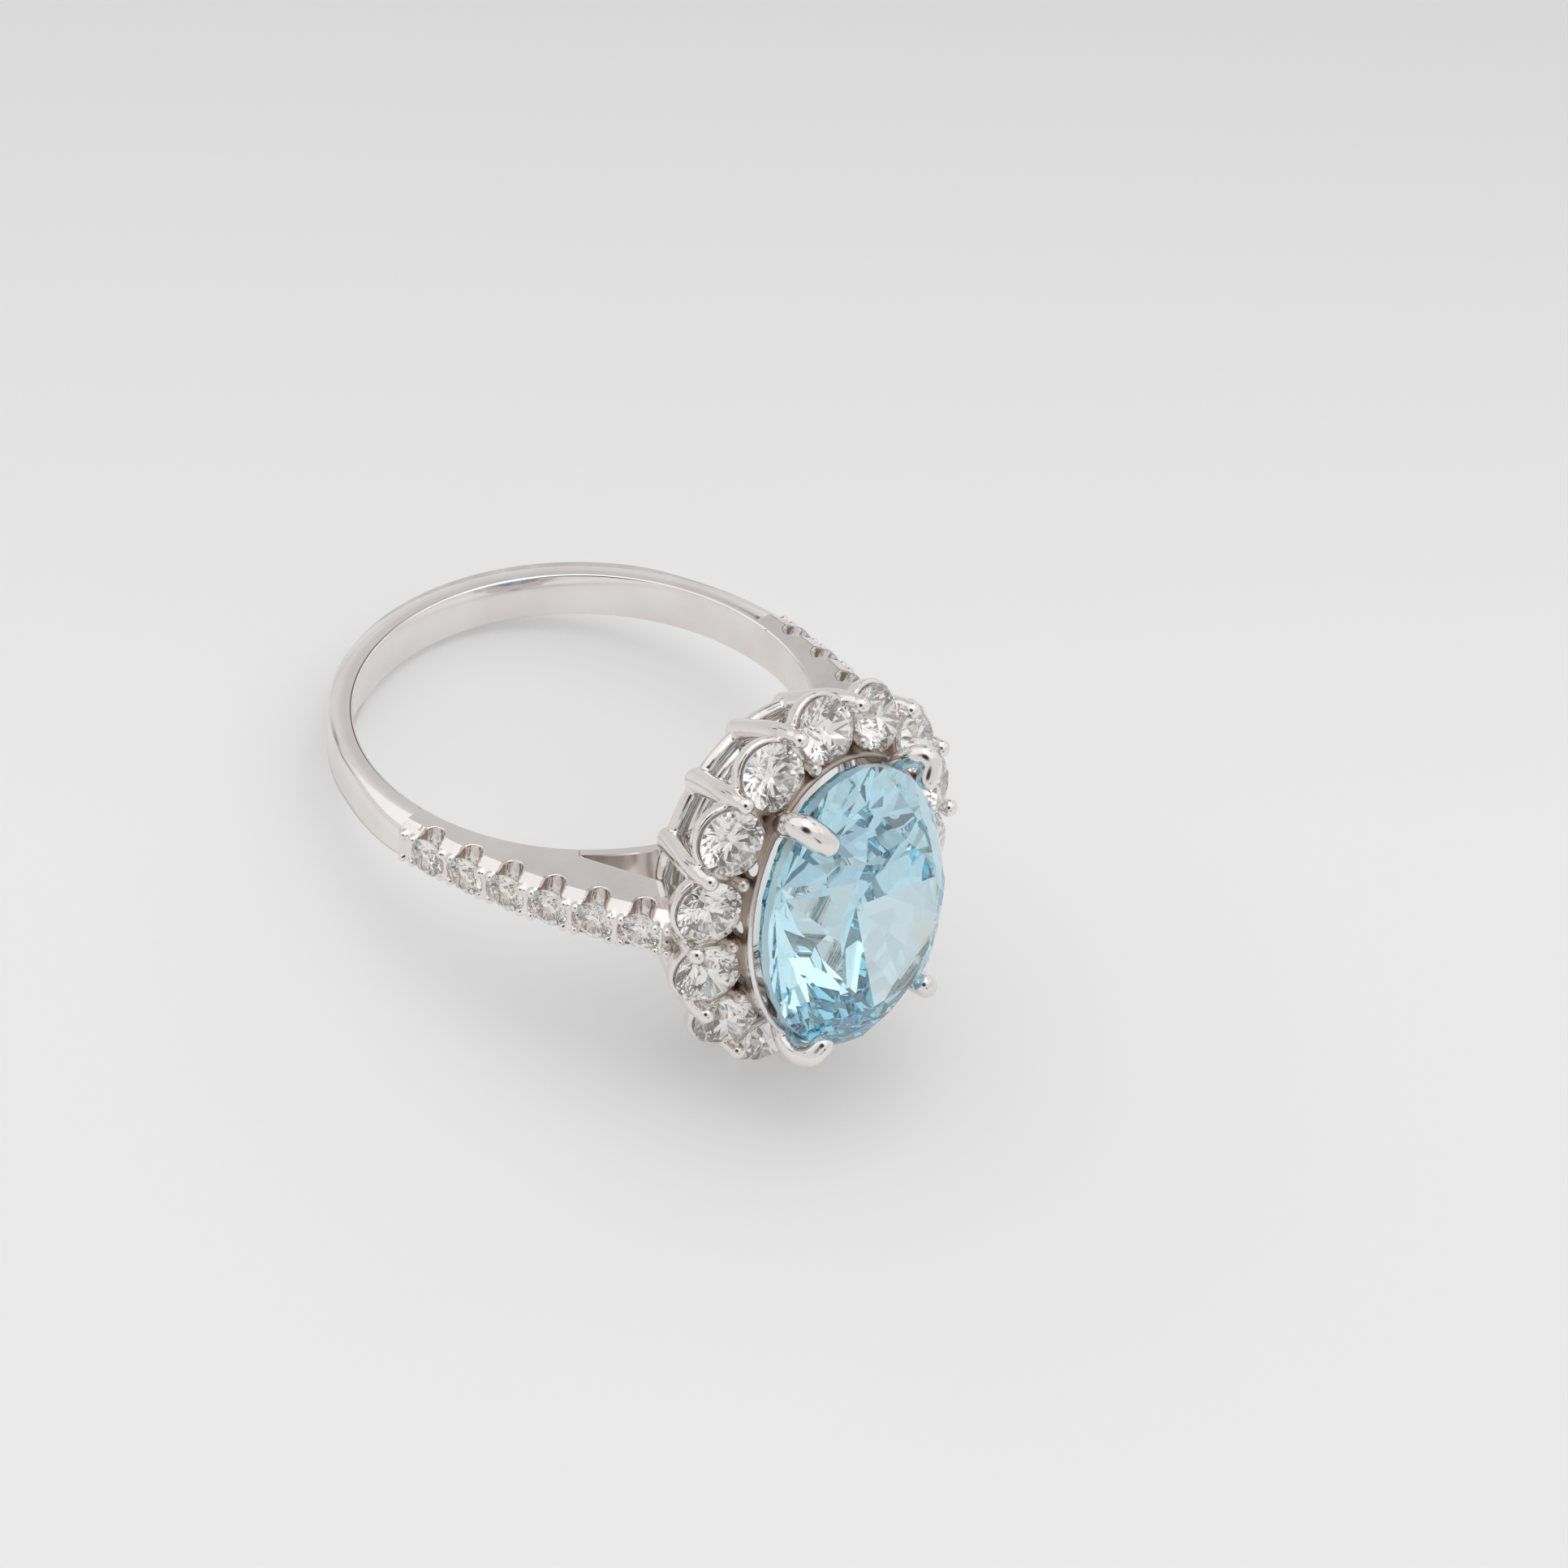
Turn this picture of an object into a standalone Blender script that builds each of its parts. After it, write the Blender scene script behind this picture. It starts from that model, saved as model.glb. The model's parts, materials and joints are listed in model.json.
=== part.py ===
"""Halo cocktail ring with an oval centre stone, lying on its side.

The ring is modelled in its own axes (X across the finger, Y along the finger, Z towards the
stones) under one empty. The empty then tilts the whole ring onto its halo and the back of its
band, as it lies on a table, with the stones towards -Y and the lowest point at z = 0.
"""

from math import cos, pi, radians, sin, sqrt

import bmesh
import bpy
from mathutils import Matrix, Vector

MM = 0.001

# Band, finger rail and cathedral shoulders
INNER_RADIUS = 8.5 * MM
BAND_OUTER_RADIUS = 9.46 * MM
BAND_WIDTH = 1.8 * MM
BAND_EDGE = 0.12 * MM
RAIL_OUTER_RADIUS = 8.93 * MM
SHANK_SPLIT = radians(88)
BAND_BULGE_START = radians(114)
WINDOW_TIP = radians(45)
CREST_RADIUS = 23.0 * MM
CREST_REACH = 9.8 * MM
UNDERSIDE_LEAN = 0.36
SHOULDER_TOP = 11.05 * MM
CHAMFER_WIDTH = 0.35 * MM
CHAMFER_DEPTH_LOW = 0.45 * MM
CHAMFER_DEPTH_TOP = 0.8 * MM
JOINT_GAP = 0.02 * MM

# Stones of the shoulders
SHOULDER_STONES = 6
SHOULDER_STONE_DIAMETER = 1.5 * MM
SHOULDER_STONE_PITCH = 1.76 * MM
FIRST_STONE_HEIGHT = 1.75 * MM
STONE_SINK_LOW = 0.1 * MM
STONE_SINK_TOP = 0.35 * MM
U_CUT_RADIUS = 0.37 * MM
U_CUT_DEPTH_LOW = 0.48 * MM
U_CUT_DEPTH_TOP = 0.82 * MM
SEAT_CLEARANCE = 0.04 * MM
BEAD_RADIUS = 0.17 * MM
BEAD_SPREAD = 0.5 * MM

# Centre stone
CENTRE_HALF_X = 4.45 * MM
CENTRE_HALF_Y = 5.6 * MM
CENTRE_PLACE = Vector((-0.2, -0.18, 14.27)) * MM
CENTRE_TILT = radians(-5.7)
CENTRE_GIRDLE = 0.4 * MM
CENTRE_STEP = 0.3 * MM
STEP_SLOPE = 2.4
CENTRE_CROWN = 1.65 * MM
CENTRE_PAVILION = 3.55 * MM
CENTRE_TABLE = 0.6

# Basket that holds the centre stone
GALLERY_HALF_X = 4.35 * MM
GALLERY_HALF_Y = 5.0 * MM
GALLERY_Z = 9.35 * MM
GALLERY_WIRE = 0.35 * MM
SEAT_HALF_X = 4.1 * MM
SEAT_HALF_Y = 5.05 * MM
SEAT_Z = 11.5 * MM
SEAT_WIRE = 0.28 * MM
CLAW_ROOT_RADIUS = 0.36 * MM
CLAW_RADIUS = 0.44 * MM
CLAW_PRESS = {(1, 1): Vector((0.48, -0.35, -0.57)) * MM, (-1, 1): Vector((0.32, -0.33, -0.3)) * MM}
STONE_RAIL_HALF_X = 4.62 * MM
STONE_RAIL_HALF_Y = 5.77 * MM
STONE_RAIL_DROP = 0.82 * MM
STONE_RAIL_WIRE = 0.12 * MM
WALL_THICKNESS = 0.22 * MM
WALL_FOOT_HALF_X = 4.58 * MM
WALL_FOOT_HALF_Y = 5.45 * MM
WALL_FOOT_Z = 12.15 * MM
CUP_CLEARANCE = 0.07 * MM
CUP_ROOM_DEPTH = 1.0 * MM
CUP_ROOM_DROP = 0.4 * MM

# Halo of round stones
HALO_STONES = 14
HALO_STONE_DIAMETER = 2.5 * MM
HALO_HALF_X = 5.85 * MM
HALO_HALF_Y = 6.66 * MM
HALO_CENTRE_Y = -0.12 * MM
HALO_GIRDLE_Z = 12.28 * MM
HALO_LEAN = radians(26)
CUP_OUTER_RADIUS = 1.44 * MM
CUP_INNER_RADIUS = 1.14 * MM
CUP_DEPTH = 0.55 * MM
CUP_RIM_DROP = 0.2 * MM
PRONG_RADIUS = 0.3 * MM
PRONG_FOOT_Z = 9.0 * MM
PRONG_FOOT_HALF_X = 5.03 * MM
PRONG_FOOT_HALF_Y = 5.66 * MM
FOOT_RAIL_WIRE = 0.24 * MM
SHOULDER_PRONG_RADIUS = 0.22 * MM
OUTER_BEAD_REACH = 0.72 * MM
OUTER_BEAD_RISE = 0.13 * MM
INNER_BEAD_REACH = 0.7 * MM
CLAW_SLOTS = (2, 5, 9, 12)
SHOULDER_SLOTS = (0, 7)

# Finishes: name, colour, roughness, metallic
WHITE_METAL = ("white_metal", (0.83, 0.82, 0.81, 1.0), 0.12, 1.0)
CLEAR_STONE = ("clear_stone", (0.93, 0.94, 0.96, 1.0), 0.02, 0.0)
AQUA_STONE = ("aqua_stone", (0.36, 0.74, 0.86, 1.0), 0.02, 0.0)


def clear_scene():
    for thing in list(bpy.data.objects):
        bpy.data.objects.remove(thing, do_unlink=True)


def new_collection(name):
    collection = bpy.data.collections.new(name)
    bpy.context.scene.collection.children.link(collection)
    return collection


def principled(owner, finish):
    kind, colour, roughness, metallic = finish
    material = bpy.data.materials.new(f"{owner}_{kind}")
    material.use_nodes = True
    shader = material.node_tree.nodes["Principled BSDF"]
    shader.inputs["Base Color"].default_value = colour
    shader.inputs["Roughness"].default_value = roughness
    shader.inputs["Metallic"].default_value = metallic
    return material


def add_part(name, data, collection, parent, finish):
    """A sub-part of the ring, with a material of its own."""
    part = bpy.data.objects.new(name, data)
    collection.objects.link(part)
    part.parent = parent
    if not data.materials:
        data.materials.append(None)
    part.material_slots[0].link = "OBJECT"
    part.material_slots[0].material = principled(name, finish)
    return part


def guide_collection(name, meshes, guides, parent):
    """Hidden helper objects that a Boolean modifier reads."""
    helpers = bpy.data.collections.new(name)
    guides.children.link(helpers)
    for index, mesh in enumerate(meshes):
        helper = bpy.data.objects.new(f"{name}_{index:02d}", mesh)
        helper.parent = parent
        helper.hide_render = True
        helper.display_type = "WIRE"
        helpers.objects.link(helper)
    return helpers


# ---------------------------------------------------------------- curves and wires

def plane_point(radius, angle):
    """Point of the side view at an angle from the +Z axis, positive towards +X."""
    return Vector((radius * sin(angle), radius * cos(angle)))


def arc_points(radius, start, end, count):
    return [plane_point(radius, start + (end - start) * i / (count - 1)) for i in range(count)]


def bezier_points(p0, p1, p2, p3, count):
    points = []
    for i in range(count):
        t = i / (count - 1)
        s = 1 - t
        points.append(p0 * s ** 3 + p1 * 3 * s * s * t + p2 * 3 * s * t * t + p3 * t ** 3)
    return points


def smooth_path(knots, steps):
    """Catmull-Rom curve through the knots, with steps points for each span."""
    ends = [knots[0] * 2 - knots[1], *knots, knots[-1] * 2 - knots[-2]]
    path = []
    for a, b, c, d in zip(ends, ends[1:], ends[2:], ends[3:]):
        for i in range(steps):
            t = i / steps
            path.append(0.5 * (b * 2 + (c - a) * t + (a * 2 - b * 5 + c * 4 - d) * t * t
                               + (b * 3 - a - c * 3 + d) * t ** 3))
    path.append(knots[-1])
    return path


def domed_wire(knots, radius, root_radius, steps=3, dome_root=False):
    """Path and radii of a wire with a rounded tip, and a rounded root if asked."""
    path = smooth_path(knots, steps)
    radii = [root_radius + (radius - root_radius) * i / (len(path) - 1) for i in range(len(path))]
    tip_direction = (path[-1] - path[-2]).normalized()
    root_direction = (path[0] - path[1]).normalized()
    for turn in (30, 60, 82):
        path.append(knots[-1] + tip_direction * radius * sin(radians(turn)))
        radii.append(radius * cos(radians(turn)))
        if dome_root:
            path.insert(0, knots[0] + root_direction * root_radius * sin(radians(turn)))
            radii.insert(0, root_radius * cos(radians(turn)))
    return path, radii


def wire_curve(name, path, radii, cyclic=False, resolution=2):
    curve = bpy.data.curves.new(name, "CURVE")
    curve.dimensions = "3D"
    curve.bevel_depth = 1.0
    curve.bevel_resolution = resolution
    curve.use_fill_caps = not cyclic
    spline = curve.splines.new("POLY")
    spline.points.add(len(path) - 1)
    spline.use_cyclic_u = cyclic
    for point, place, radius in zip(spline.points, path, radii):
        point.co = (*place, 1.0)
        point.radius = radius
    return curve


def curve_to_mesh(curve):
    """Closed mesh of a curve, with its caps welded on. The curve is removed."""
    holder = bpy.data.objects.new(curve.name, curve)
    mesh = bpy.data.meshes.new_from_object(holder)
    bpy.data.objects.remove(holder, do_unlink=True)
    shape = bmesh.new()
    shape.from_mesh(mesh)
    bmesh.ops.remove_doubles(shape, verts=shape.verts, dist=0.001 * MM)
    bmesh.ops.recalc_face_normals(shape, faces=shape.faces)
    shape.to_mesh(mesh)
    shape.free()
    return mesh


def wire_mesh(name, path, radii, cyclic=False):
    mesh = curve_to_mesh(wire_curve(name, path, radii, cyclic))
    mesh.shade_smooth()
    return mesh


def oval_rail(name, half_x, half_y, height, radius, count=40):
    path = []
    for i in range(count):
        turn = 2 * pi * i / count
        path.append(Vector((half_x * cos(turn), half_y * sin(turn), height)))
    return wire_mesh(name, path, [radius] * count, cyclic=True)


def plate_mesh(name, outline, width):
    """Flat outline in the ring's X-Z plane, extruded along Y to the given width."""
    curve = bpy.data.curves.new(name, "CURVE")
    curve.dimensions = "2D"
    curve.fill_mode = "BOTH"
    curve.extrude = width / 2
    spline = curve.splines.new("POLY")
    spline.points.add(len(outline) - 1)
    spline.use_cyclic_u = True
    for point, place in zip(spline.points, outline):
        point.co = (place.x, place.y, 0.0, 1.0)
    mesh = curve_to_mesh(curve)
    mesh.transform(Matrix.Rotation(pi / 2, 4, "X"))
    return mesh


def boolean(body, operation, name, meshes, guides, parent):
    """Adds the meshes to the body, or takes them away from it."""
    modifier = body.modifiers.new(name, "BOOLEAN")
    modifier.operation = operation
    modifier.operand_type = "COLLECTION"
    modifier.collection = guide_collection(name, meshes, guides, parent)
    modifier.solver = "EXACT"


def bevel_rims(body, width):
    bevel = body.modifiers.new("edges", "BEVEL")
    bevel.width = width
    bevel.segments = 1
    bevel.limit_method = "ANGLE"
    bevel.angle_limit = radians(50)


# ---------------------------------------------------------------- stones

def slice_off(shape, point, normal):
    """Cuts away what lies beyond a plane and closes the cut with one facet."""
    parts = shape.verts[:] + shape.edges[:] + shape.faces[:]
    done = bmesh.ops.bisect_plane(
        shape, geom=parts, dist=1e-6, plane_co=point, plane_no=normal, clear_outer=True)
    rim = [part for part in done["geom_cut"] if isinstance(part, bmesh.types.BMEdge)]
    if rim:
        bmesh.ops.contextual_create(shape, geom=rim)


def ring_of_cuts(shape, count, offset, slope, reach, base):
    """Cuts count facets around the stone: each plane passes at reach from the axis at height
    base, and rises inwards by slope (falls inwards when slope is negative)."""
    for i in range(count):
        turn = 2 * pi * (i + offset) / count
        outward = Vector((cos(turn), sin(turn), 0.0))
        normal = outward * abs(slope) + Vector((0.0, 0.0, 1.0 if slope > 0 else -1.0))
        slice_off(shape, outward * reach + Vector((0.0, 0.0, base)), normal.normalized())


def brilliant_mesh(name, half_x, half_y, girdle, crown, pavilion, sides, table=0.57, turn=0.0,
                   step=0.0):
    """Brilliant cut with its girdle's upper edge at z = 0: 57 facets, cut as planes from a disc
    of unit radius and then stretched to the stone's outline, which keeps the facets flat. The
    main facets start at turn, in eighths of a circle. A step is a steep tier of small facets
    between girdle and pavilion."""
    size = (half_x + half_y) / 2
    rise = crown / size
    fall = pavilion / size
    band = girdle / size
    shape = bmesh.new()
    bmesh.ops.create_cone(
        shape, cap_ends=True, segments=sides, radius1=1.0, radius2=1.0, depth=rise + band + fall)
    bmesh.ops.translate(shape, verts=shape.verts, vec=(0, 0, (rise - band - fall) / 2))
    main_slope = rise / (1 - table)
    ring_of_cuts(shape, 8, turn, main_slope, 1.0, 0.0)
    ring_of_cuts(shape, 16, 0.5, main_slope * 1.2, cos(pi / 16), 0.0)
    ring_of_cuts(shape, 8, turn + 0.5, main_slope * 0.62, table * cos(pi / 8), rise)
    slice_off(shape, Vector((0, 0, rise)), Vector((0, 0, 1)))
    tier = step / size
    if step:
        ring_of_cuts(shape, 32, 0.5, -STEP_SLOPE, cos(pi / 32), -band)
    edge = 1.0 - tier / STEP_SLOPE
    steep = (fall - tier) / edge
    ring_of_cuts(shape, 8, turn, -steep, edge, -band - tier)
    ring_of_cuts(shape, 16, 0.5, -steep * 1.05, edge * cos(pi / 16), -band - tier)
    bmesh.ops.remove_doubles(shape, verts=shape.verts, dist=2e-4)
    bmesh.ops.scale(shape, verts=shape.verts, vec=(half_x, half_y, size))
    bmesh.ops.recalc_face_normals(shape, faces=shape.faces)
    mesh = bpy.data.meshes.new(name)
    shape.to_mesh(mesh)
    shape.free()
    return mesh


def axes_matrix(origin, normal, side):
    """Frame with its Z axis along normal and its X axis nearest to side."""
    z = normal.normalized()
    x = (side - z * side.dot(z)).normalized()
    y = z.cross(x)
    turn = Matrix((x, y, z)).transposed().to_4x4()
    return Matrix.Translation(origin) @ turn


# ---------------------------------------------------------------- band and shoulders

def crest_point(height):
    """Outer line of the right shoulder at a height, and its outward direction."""
    centre = Vector((CREST_REACH - CREST_RADIUS, 0.0))
    reach = sqrt(CREST_RADIUS ** 2 - height ** 2)
    point = Vector((centre.x + reach, height))
    return point, (point - centre).normalized()


def shank_outline():
    """The band from one shoulder joint round the back to the other."""
    gap = JOINT_GAP / 2 / INNER_RADIUS
    split = SHANK_SPLIT + gap
    top, outward = crest_point(CREST_REACH * cos(split))
    start = plane_point(BAND_OUTER_RADIUS, BAND_BULGE_START)
    down_crest = Vector((outward.y, -outward.x))
    up_band = Vector((-cos(BAND_BULGE_START), sin(BAND_BULGE_START))) * -1
    reach = (top - start).length / 3
    bulge = bezier_points(top, top + down_crest * reach, start - up_band * reach, start, 7)
    back = arc_points(BAND_OUTER_RADIUS, BAND_BULGE_START, 2 * pi - BAND_BULGE_START, 41)
    mirrored = [Vector((-p.x, p.y)) for p in reversed(bulge)]
    inner = arc_points(INNER_RADIUS, 2 * pi - split, split, 57)
    return bulge[:-1] + back + mirrored[1:] + inner


def shoulder_outline(side):
    """One cathedral shoulder, from the shank joint up to the halo."""
    gap = JOINT_GAP / 2 / INNER_RADIUS
    split = SHANK_SPLIT - gap
    inner = arc_points(INNER_RADIUS, split, WINDOW_TIP + gap, 17)
    tip = plane_point(RAIL_OUTER_RADIUS, WINDOW_TIP + gap)
    rise = SHOULDER_TOP - tip.y
    corner = Vector((tip.x - UNDERSIDE_LEAN * rise, SHOULDER_TOP))
    low = CREST_REACH * cos(split)
    count = 14
    crest = [crest_point(SHOULDER_TOP + (low - SHOULDER_TOP) * i / (count - 1))[0]
             for i in range(count)]
    outline = inner + [tip, corner] + crest
    return [Vector((p.x * side, p.y)) for p in outline]


def finger_rail_outline():
    gap = JOINT_GAP / 2 / INNER_RADIUS
    reach = WINDOW_TIP - gap
    outer = arc_points(RAIL_OUTER_RADIUS, -reach, reach, 25)
    inner = arc_points(INNER_RADIUS, reach, -reach, 25)
    return outer + inner


def shoulder_seats(side):
    """Frames of the shoulder stones: origin on the crest, Z outwards, X along the finger."""
    frames = []
    height = FIRST_STONE_HEIGHT
    for _ in range(SHOULDER_STONES):
        point, outward = crest_point(height)
        frames.append(axes_matrix(
            Vector((point.x * side, 0, point.y)),
            Vector((outward.x * side, 0, outward.y)),
            Vector((0, 1, 0))))
        height += SHOULDER_STONE_PITCH * outward.x
    return frames


def scoop_mesh(name, frame, depth):
    """U-shaped cut across the crest, under one stone: round at the bottom, open outwards."""
    shape = bmesh.new()
    bmesh.ops.create_cone(
        shape, cap_ends=True, segments=16, radius1=U_CUT_RADIUS, radius2=U_CUT_RADIUS,
        depth=BAND_WIDTH * 1.4,
        matrix=Matrix.Translation((0, 0, -depth)) @ Matrix.Rotation(pi / 2, 4, "Y"))
    for vertex in shape.verts:
        if vertex.co.z > -depth + 0.01 * MM:
            vertex.co.z += 1.5 * MM
    mesh = bpy.data.meshes.new(name)
    shape.to_mesh(mesh)
    shape.free()
    mesh.transform(frame)
    return mesh


def graded(low, top):
    """A depth for each shoulder stone, from the lowest stone to the top one."""
    return [low + (top - low) * i / (SHOULDER_STONES - 1) for i in range(SHOULDER_STONES)]


def seat_mesh(name, frame, sink):
    """Conical seat, a little wider than the stone that stands in it."""
    radius = SHOULDER_STONE_DIAMETER / 2 + SEAT_CLEARANCE
    shape = bmesh.new()
    bmesh.ops.create_cone(
        shape, cap_ends=True, segments=16, radius1=radius * 0.12, radius2=radius,
        depth=0.75 * MM, matrix=Matrix.Translation((0, 0, -0.435 * MM)))
    bmesh.ops.create_cone(
        shape, cap_ends=True, segments=16, radius1=radius, radius2=radius,
        depth=0.6 * MM, matrix=Matrix.Translation((0, 0, 0.24 * MM)))
    bmesh.ops.remove_doubles(shape, verts=shape.verts, dist=0.001 * MM)
    inside = [f for f in shape.faces if all(abs(v.co.z + 0.06 * MM) < 0.002 * MM for v in f.verts)]
    bmesh.ops.delete(shape, geom=inside, context="FACES_ONLY")
    bmesh.ops.recalc_face_normals(shape, faces=shape.faces)
    mesh = bpy.data.meshes.new(name)
    shape.to_mesh(mesh)
    shape.free()
    mesh.transform(frame @ Matrix.Translation((0, 0, -sink)))
    return mesh


def chamfer_mesh(name, side, edge):
    """Wedge that takes the corner off one long edge of a shoulder's crest, deeper at the top."""
    count = 10
    rows = []
    for i in range(count):
        height = -1.5 * MM + (SHOULDER_TOP + 3 * MM) * i / (count - 1)
        point, outward = crest_point(height)
        share = min(max(height / SHOULDER_TOP, 0.0), 1.0)
        depth = CHAMFER_DEPTH_LOW + (CHAMFER_DEPTH_TOP - CHAMFER_DEPTH_LOW) * share
        base = Vector((point.x * side, edge * BAND_WIDTH / 2, point.y))
        out = Vector((outward.x * side, 0, outward.y)) * depth
        across = Vector((0, edge, 0)) * CHAMFER_WIDTH
        rows.append([base - out * 2 + across, base + out - across * 2, base + out + across])
    shape = bmesh.new()
    grid = [[shape.verts.new(p) for p in row] for row in rows]
    for low, high in zip(grid, grid[1:]):
        for j in range(3):
            k = (j + 1) % 3
            shape.faces.new((low[j], low[k], high[k], high[j]))
    shape.faces.new(grid[0])
    shape.faces.new(grid[-1])
    bmesh.ops.recalc_face_normals(shape, faces=shape.faces)
    mesh = bpy.data.meshes.new(name)
    shape.to_mesh(mesh)
    shape.free()
    return mesh


def bead_meshes(side):
    """Small prongs in pairs on the posts between the shoulder stones."""
    seats = shoulder_seats(side)
    meshes = []
    for post in range(SHOULDER_STONES + 1):
        first = seats[max(post - 1, 0)]
        second = seats[min(post, SHOULDER_STONES - 1)]
        if post in (0, SHOULDER_STONES):
            along = seats[1].translation - seats[0].translation
            if post:
                along = seats[-1].translation - seats[-2].translation
            shift = along / 2 if post else along / -2
            centre = first.translation + shift
        else:
            centre = (first.translation + second.translation) / 2
        outward = (first.to_3x3().col[2] + second.to_3x3().col[2]).normalized()
        for edge in (-1, 1):
            foot = centre + Vector((0, edge * BEAD_SPREAD, 0)) - outward * 0.5 * MM
            tip = centre + Vector((0, edge * BEAD_SPREAD, 0)) - outward * 0.03 * MM
            path, radii = domed_wire([foot, (foot + tip) / 2, tip], BEAD_RADIUS, BEAD_RADIUS, 1)
            meshes.append(wire_mesh(f"bead_{post}_{edge}", path, radii))
    return meshes


def make_shoulder(name, side, parts, guides, parent):
    body = add_part(name, plate_mesh(name, shoulder_outline(side), BAND_WIDTH),
                    parts, parent, WHITE_METAL)
    frames = shoulder_seats(side)
    chamfers = [chamfer_mesh(f"{name}_chamfer", side, edge) for edge in (-1, 1)]
    scoops = [scoop_mesh(f"{name}_u_cut", frame, depth)
              for frame, depth in zip(frames, graded(U_CUT_DEPTH_LOW, U_CUT_DEPTH_TOP))]
    seats = [seat_mesh(f"{name}_seat", frame, sink)
             for frame, sink in zip(frames, graded(STONE_SINK_LOW, STONE_SINK_TOP))]
    boolean(body, "DIFFERENCE", f"{name}_chamfers", chamfers, guides, parent)
    boolean(body, "UNION", f"{name}_beads", bead_meshes(side), guides, parent)
    boolean(body, "DIFFERENCE", f"{name}_u_cuts", scoops, guides, parent)
    boolean(body, "DIFFERENCE", f"{name}_seats", seats, guides, parent)


def make_band(parts, guides, parent):
    for name, outline in (("shank", shank_outline()), ("finger_rail", finger_rail_outline())):
        body = add_part(name, plate_mesh(name, outline, BAND_WIDTH), parts, parent, WHITE_METAL)
        bevel_rims(body, BAND_EDGE)
    make_shoulder("shoulder_left", -1, parts, guides, parent)
    make_shoulder("shoulder_right", 1, parts, guides, parent)


def make_shoulder_stones(parts, parent):
    radius = SHOULDER_STONE_DIAMETER / 2
    mesh = brilliant_mesh("shoulder_stone", radius, radius, 0.06 * MM, 0.22 * MM, 0.62 * MM, 16)
    for label, side in (("left", -1), ("right", 1)):
        sinks = graded(STONE_SINK_LOW, STONE_SINK_TOP)
        for index, (frame, sink) in enumerate(zip(shoulder_seats(side), sinks)):
            stone = add_part(f"shoulder_stone_{label}_{index + 1}", mesh, parts, parent,
                             CLEAR_STONE)
            stone.matrix_local = frame @ Matrix.Translation((0, 0, 0.06 * MM - sink))


# ---------------------------------------------------------------- head

def oval_arc_table(half_x, half_y, steps=720):
    """Running length of an oval from its -X end, as (turn, length) pairs."""
    table = [(0.0, 0.0)]
    last = Vector((-half_x, 0.0))
    for i in range(1, steps + 1):
        turn = 2 * pi * i / steps
        here = Vector((-half_x * cos(turn), half_y * sin(turn)))
        table.append((turn, table[-1][1] + (here - last).length))
        last = here
    return table


def oval_turn(table, share):
    """Turn at which a share of the oval's whole length has been passed."""
    goal = (share % 1.0) * table[-1][1]
    for (turn_a, length_a), (turn_b, length_b) in zip(table, table[1:]):
        if length_b >= goal:
            return turn_a + (turn_b - turn_a) * (goal - length_a) / (length_b - length_a)
    return 0.0


def halo_frame_at(step):
    """Frame on the halo's girdle line, steps counted from the -X end towards +Y: Z along the
    stone's axis, which leans outwards, X along the oval."""
    table = oval_arc_table(HALO_HALF_X, HALO_HALF_Y)
    turn = oval_turn(table, step / HALO_STONES)
    place = Vector((-HALO_HALF_X * cos(turn), HALO_HALF_Y * sin(turn) + HALO_CENTRE_Y,
                    HALO_GIRDLE_Z))
    outward = Vector((-cos(turn) * HALO_HALF_Y, sin(turn) * HALO_HALF_X, 0)).normalized()
    along = Vector((0, 0, 1)).cross(outward)
    normal = outward * sin(HALO_LEAN) + Vector((0, 0, 1)) * cos(HALO_LEAN)
    return axes_matrix(place, normal, along), outward


def cup_mesh(step):
    """Short open tube under one halo stone: a turned profile, outer side top to bottom."""
    frame, _ = halo_frame_at(step)
    top = -CUP_RIM_DROP
    low = top - CUP_DEPTH
    profile = [(CUP_OUTER_RADIUS, top), (CUP_OUTER_RADIUS * 0.97, low),
               (CUP_INNER_RADIUS * 0.88, low), (CUP_INNER_RADIUS, top)]
    shape = bmesh.new()
    count = 24
    rings = []
    for i in range(count):
        turn = 2 * pi * (i + 0.5) / count
        rings.append([shape.verts.new((r * cos(turn), r * sin(turn), z)) for r, z in profile])
    for a, b in zip(rings, rings[1:] + rings[:1]):
        for j in range(4):
            k = (j + 1) % 4
            shape.faces.new((a[j], b[j], b[k], a[k]))
    bmesh.ops.recalc_face_normals(shape, faces=shape.faces)
    mesh = bpy.data.meshes.new("cup")
    shape.to_mesh(mesh)
    shape.free()
    mesh.transform(frame)
    return mesh


def prong_point(frame, outward, reach, height):
    return frame.translation + outward * reach * cos(HALO_LEAN) + Vector((0, 0, height))


def outer_prong_mesh(step):
    frame, outward = halo_frame_at(step)
    bead = prong_point(frame, outward, OUTER_BEAD_REACH, OUTER_BEAD_RISE)
    if step in SHOULDER_SLOTS:
        foot = bead - outward * 0.35 * MM - Vector((0, 0, 1.23 * MM))
        knots = [foot, (foot + bead) / 2 + outward * 0.06 * MM, bead]
    else:
        table = oval_arc_table(PRONG_FOOT_HALF_X, PRONG_FOOT_HALF_Y)
        turn = oval_turn(table, step / HALO_STONES)
        foot = Vector((-PRONG_FOOT_HALF_X * cos(turn),
                       PRONG_FOOT_HALF_Y * sin(turn) + HALO_CENTRE_Y, PRONG_FOOT_Z))
        belly = (foot * 0.45 + bead * 0.55) + outward * 0.22 * MM
        neck = (foot * 0.15 + bead * 0.85) + outward * 0.14 * MM
        knots = [foot, belly, neck, bead]
    radius = SHOULDER_PRONG_RADIUS if step in SHOULDER_SLOTS else PRONG_RADIUS
    path, radii = domed_wire(knots, radius, radius, 3, dome_root=True)
    return wire_mesh(f"outer_prong_{step}", path, radii)


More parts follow.
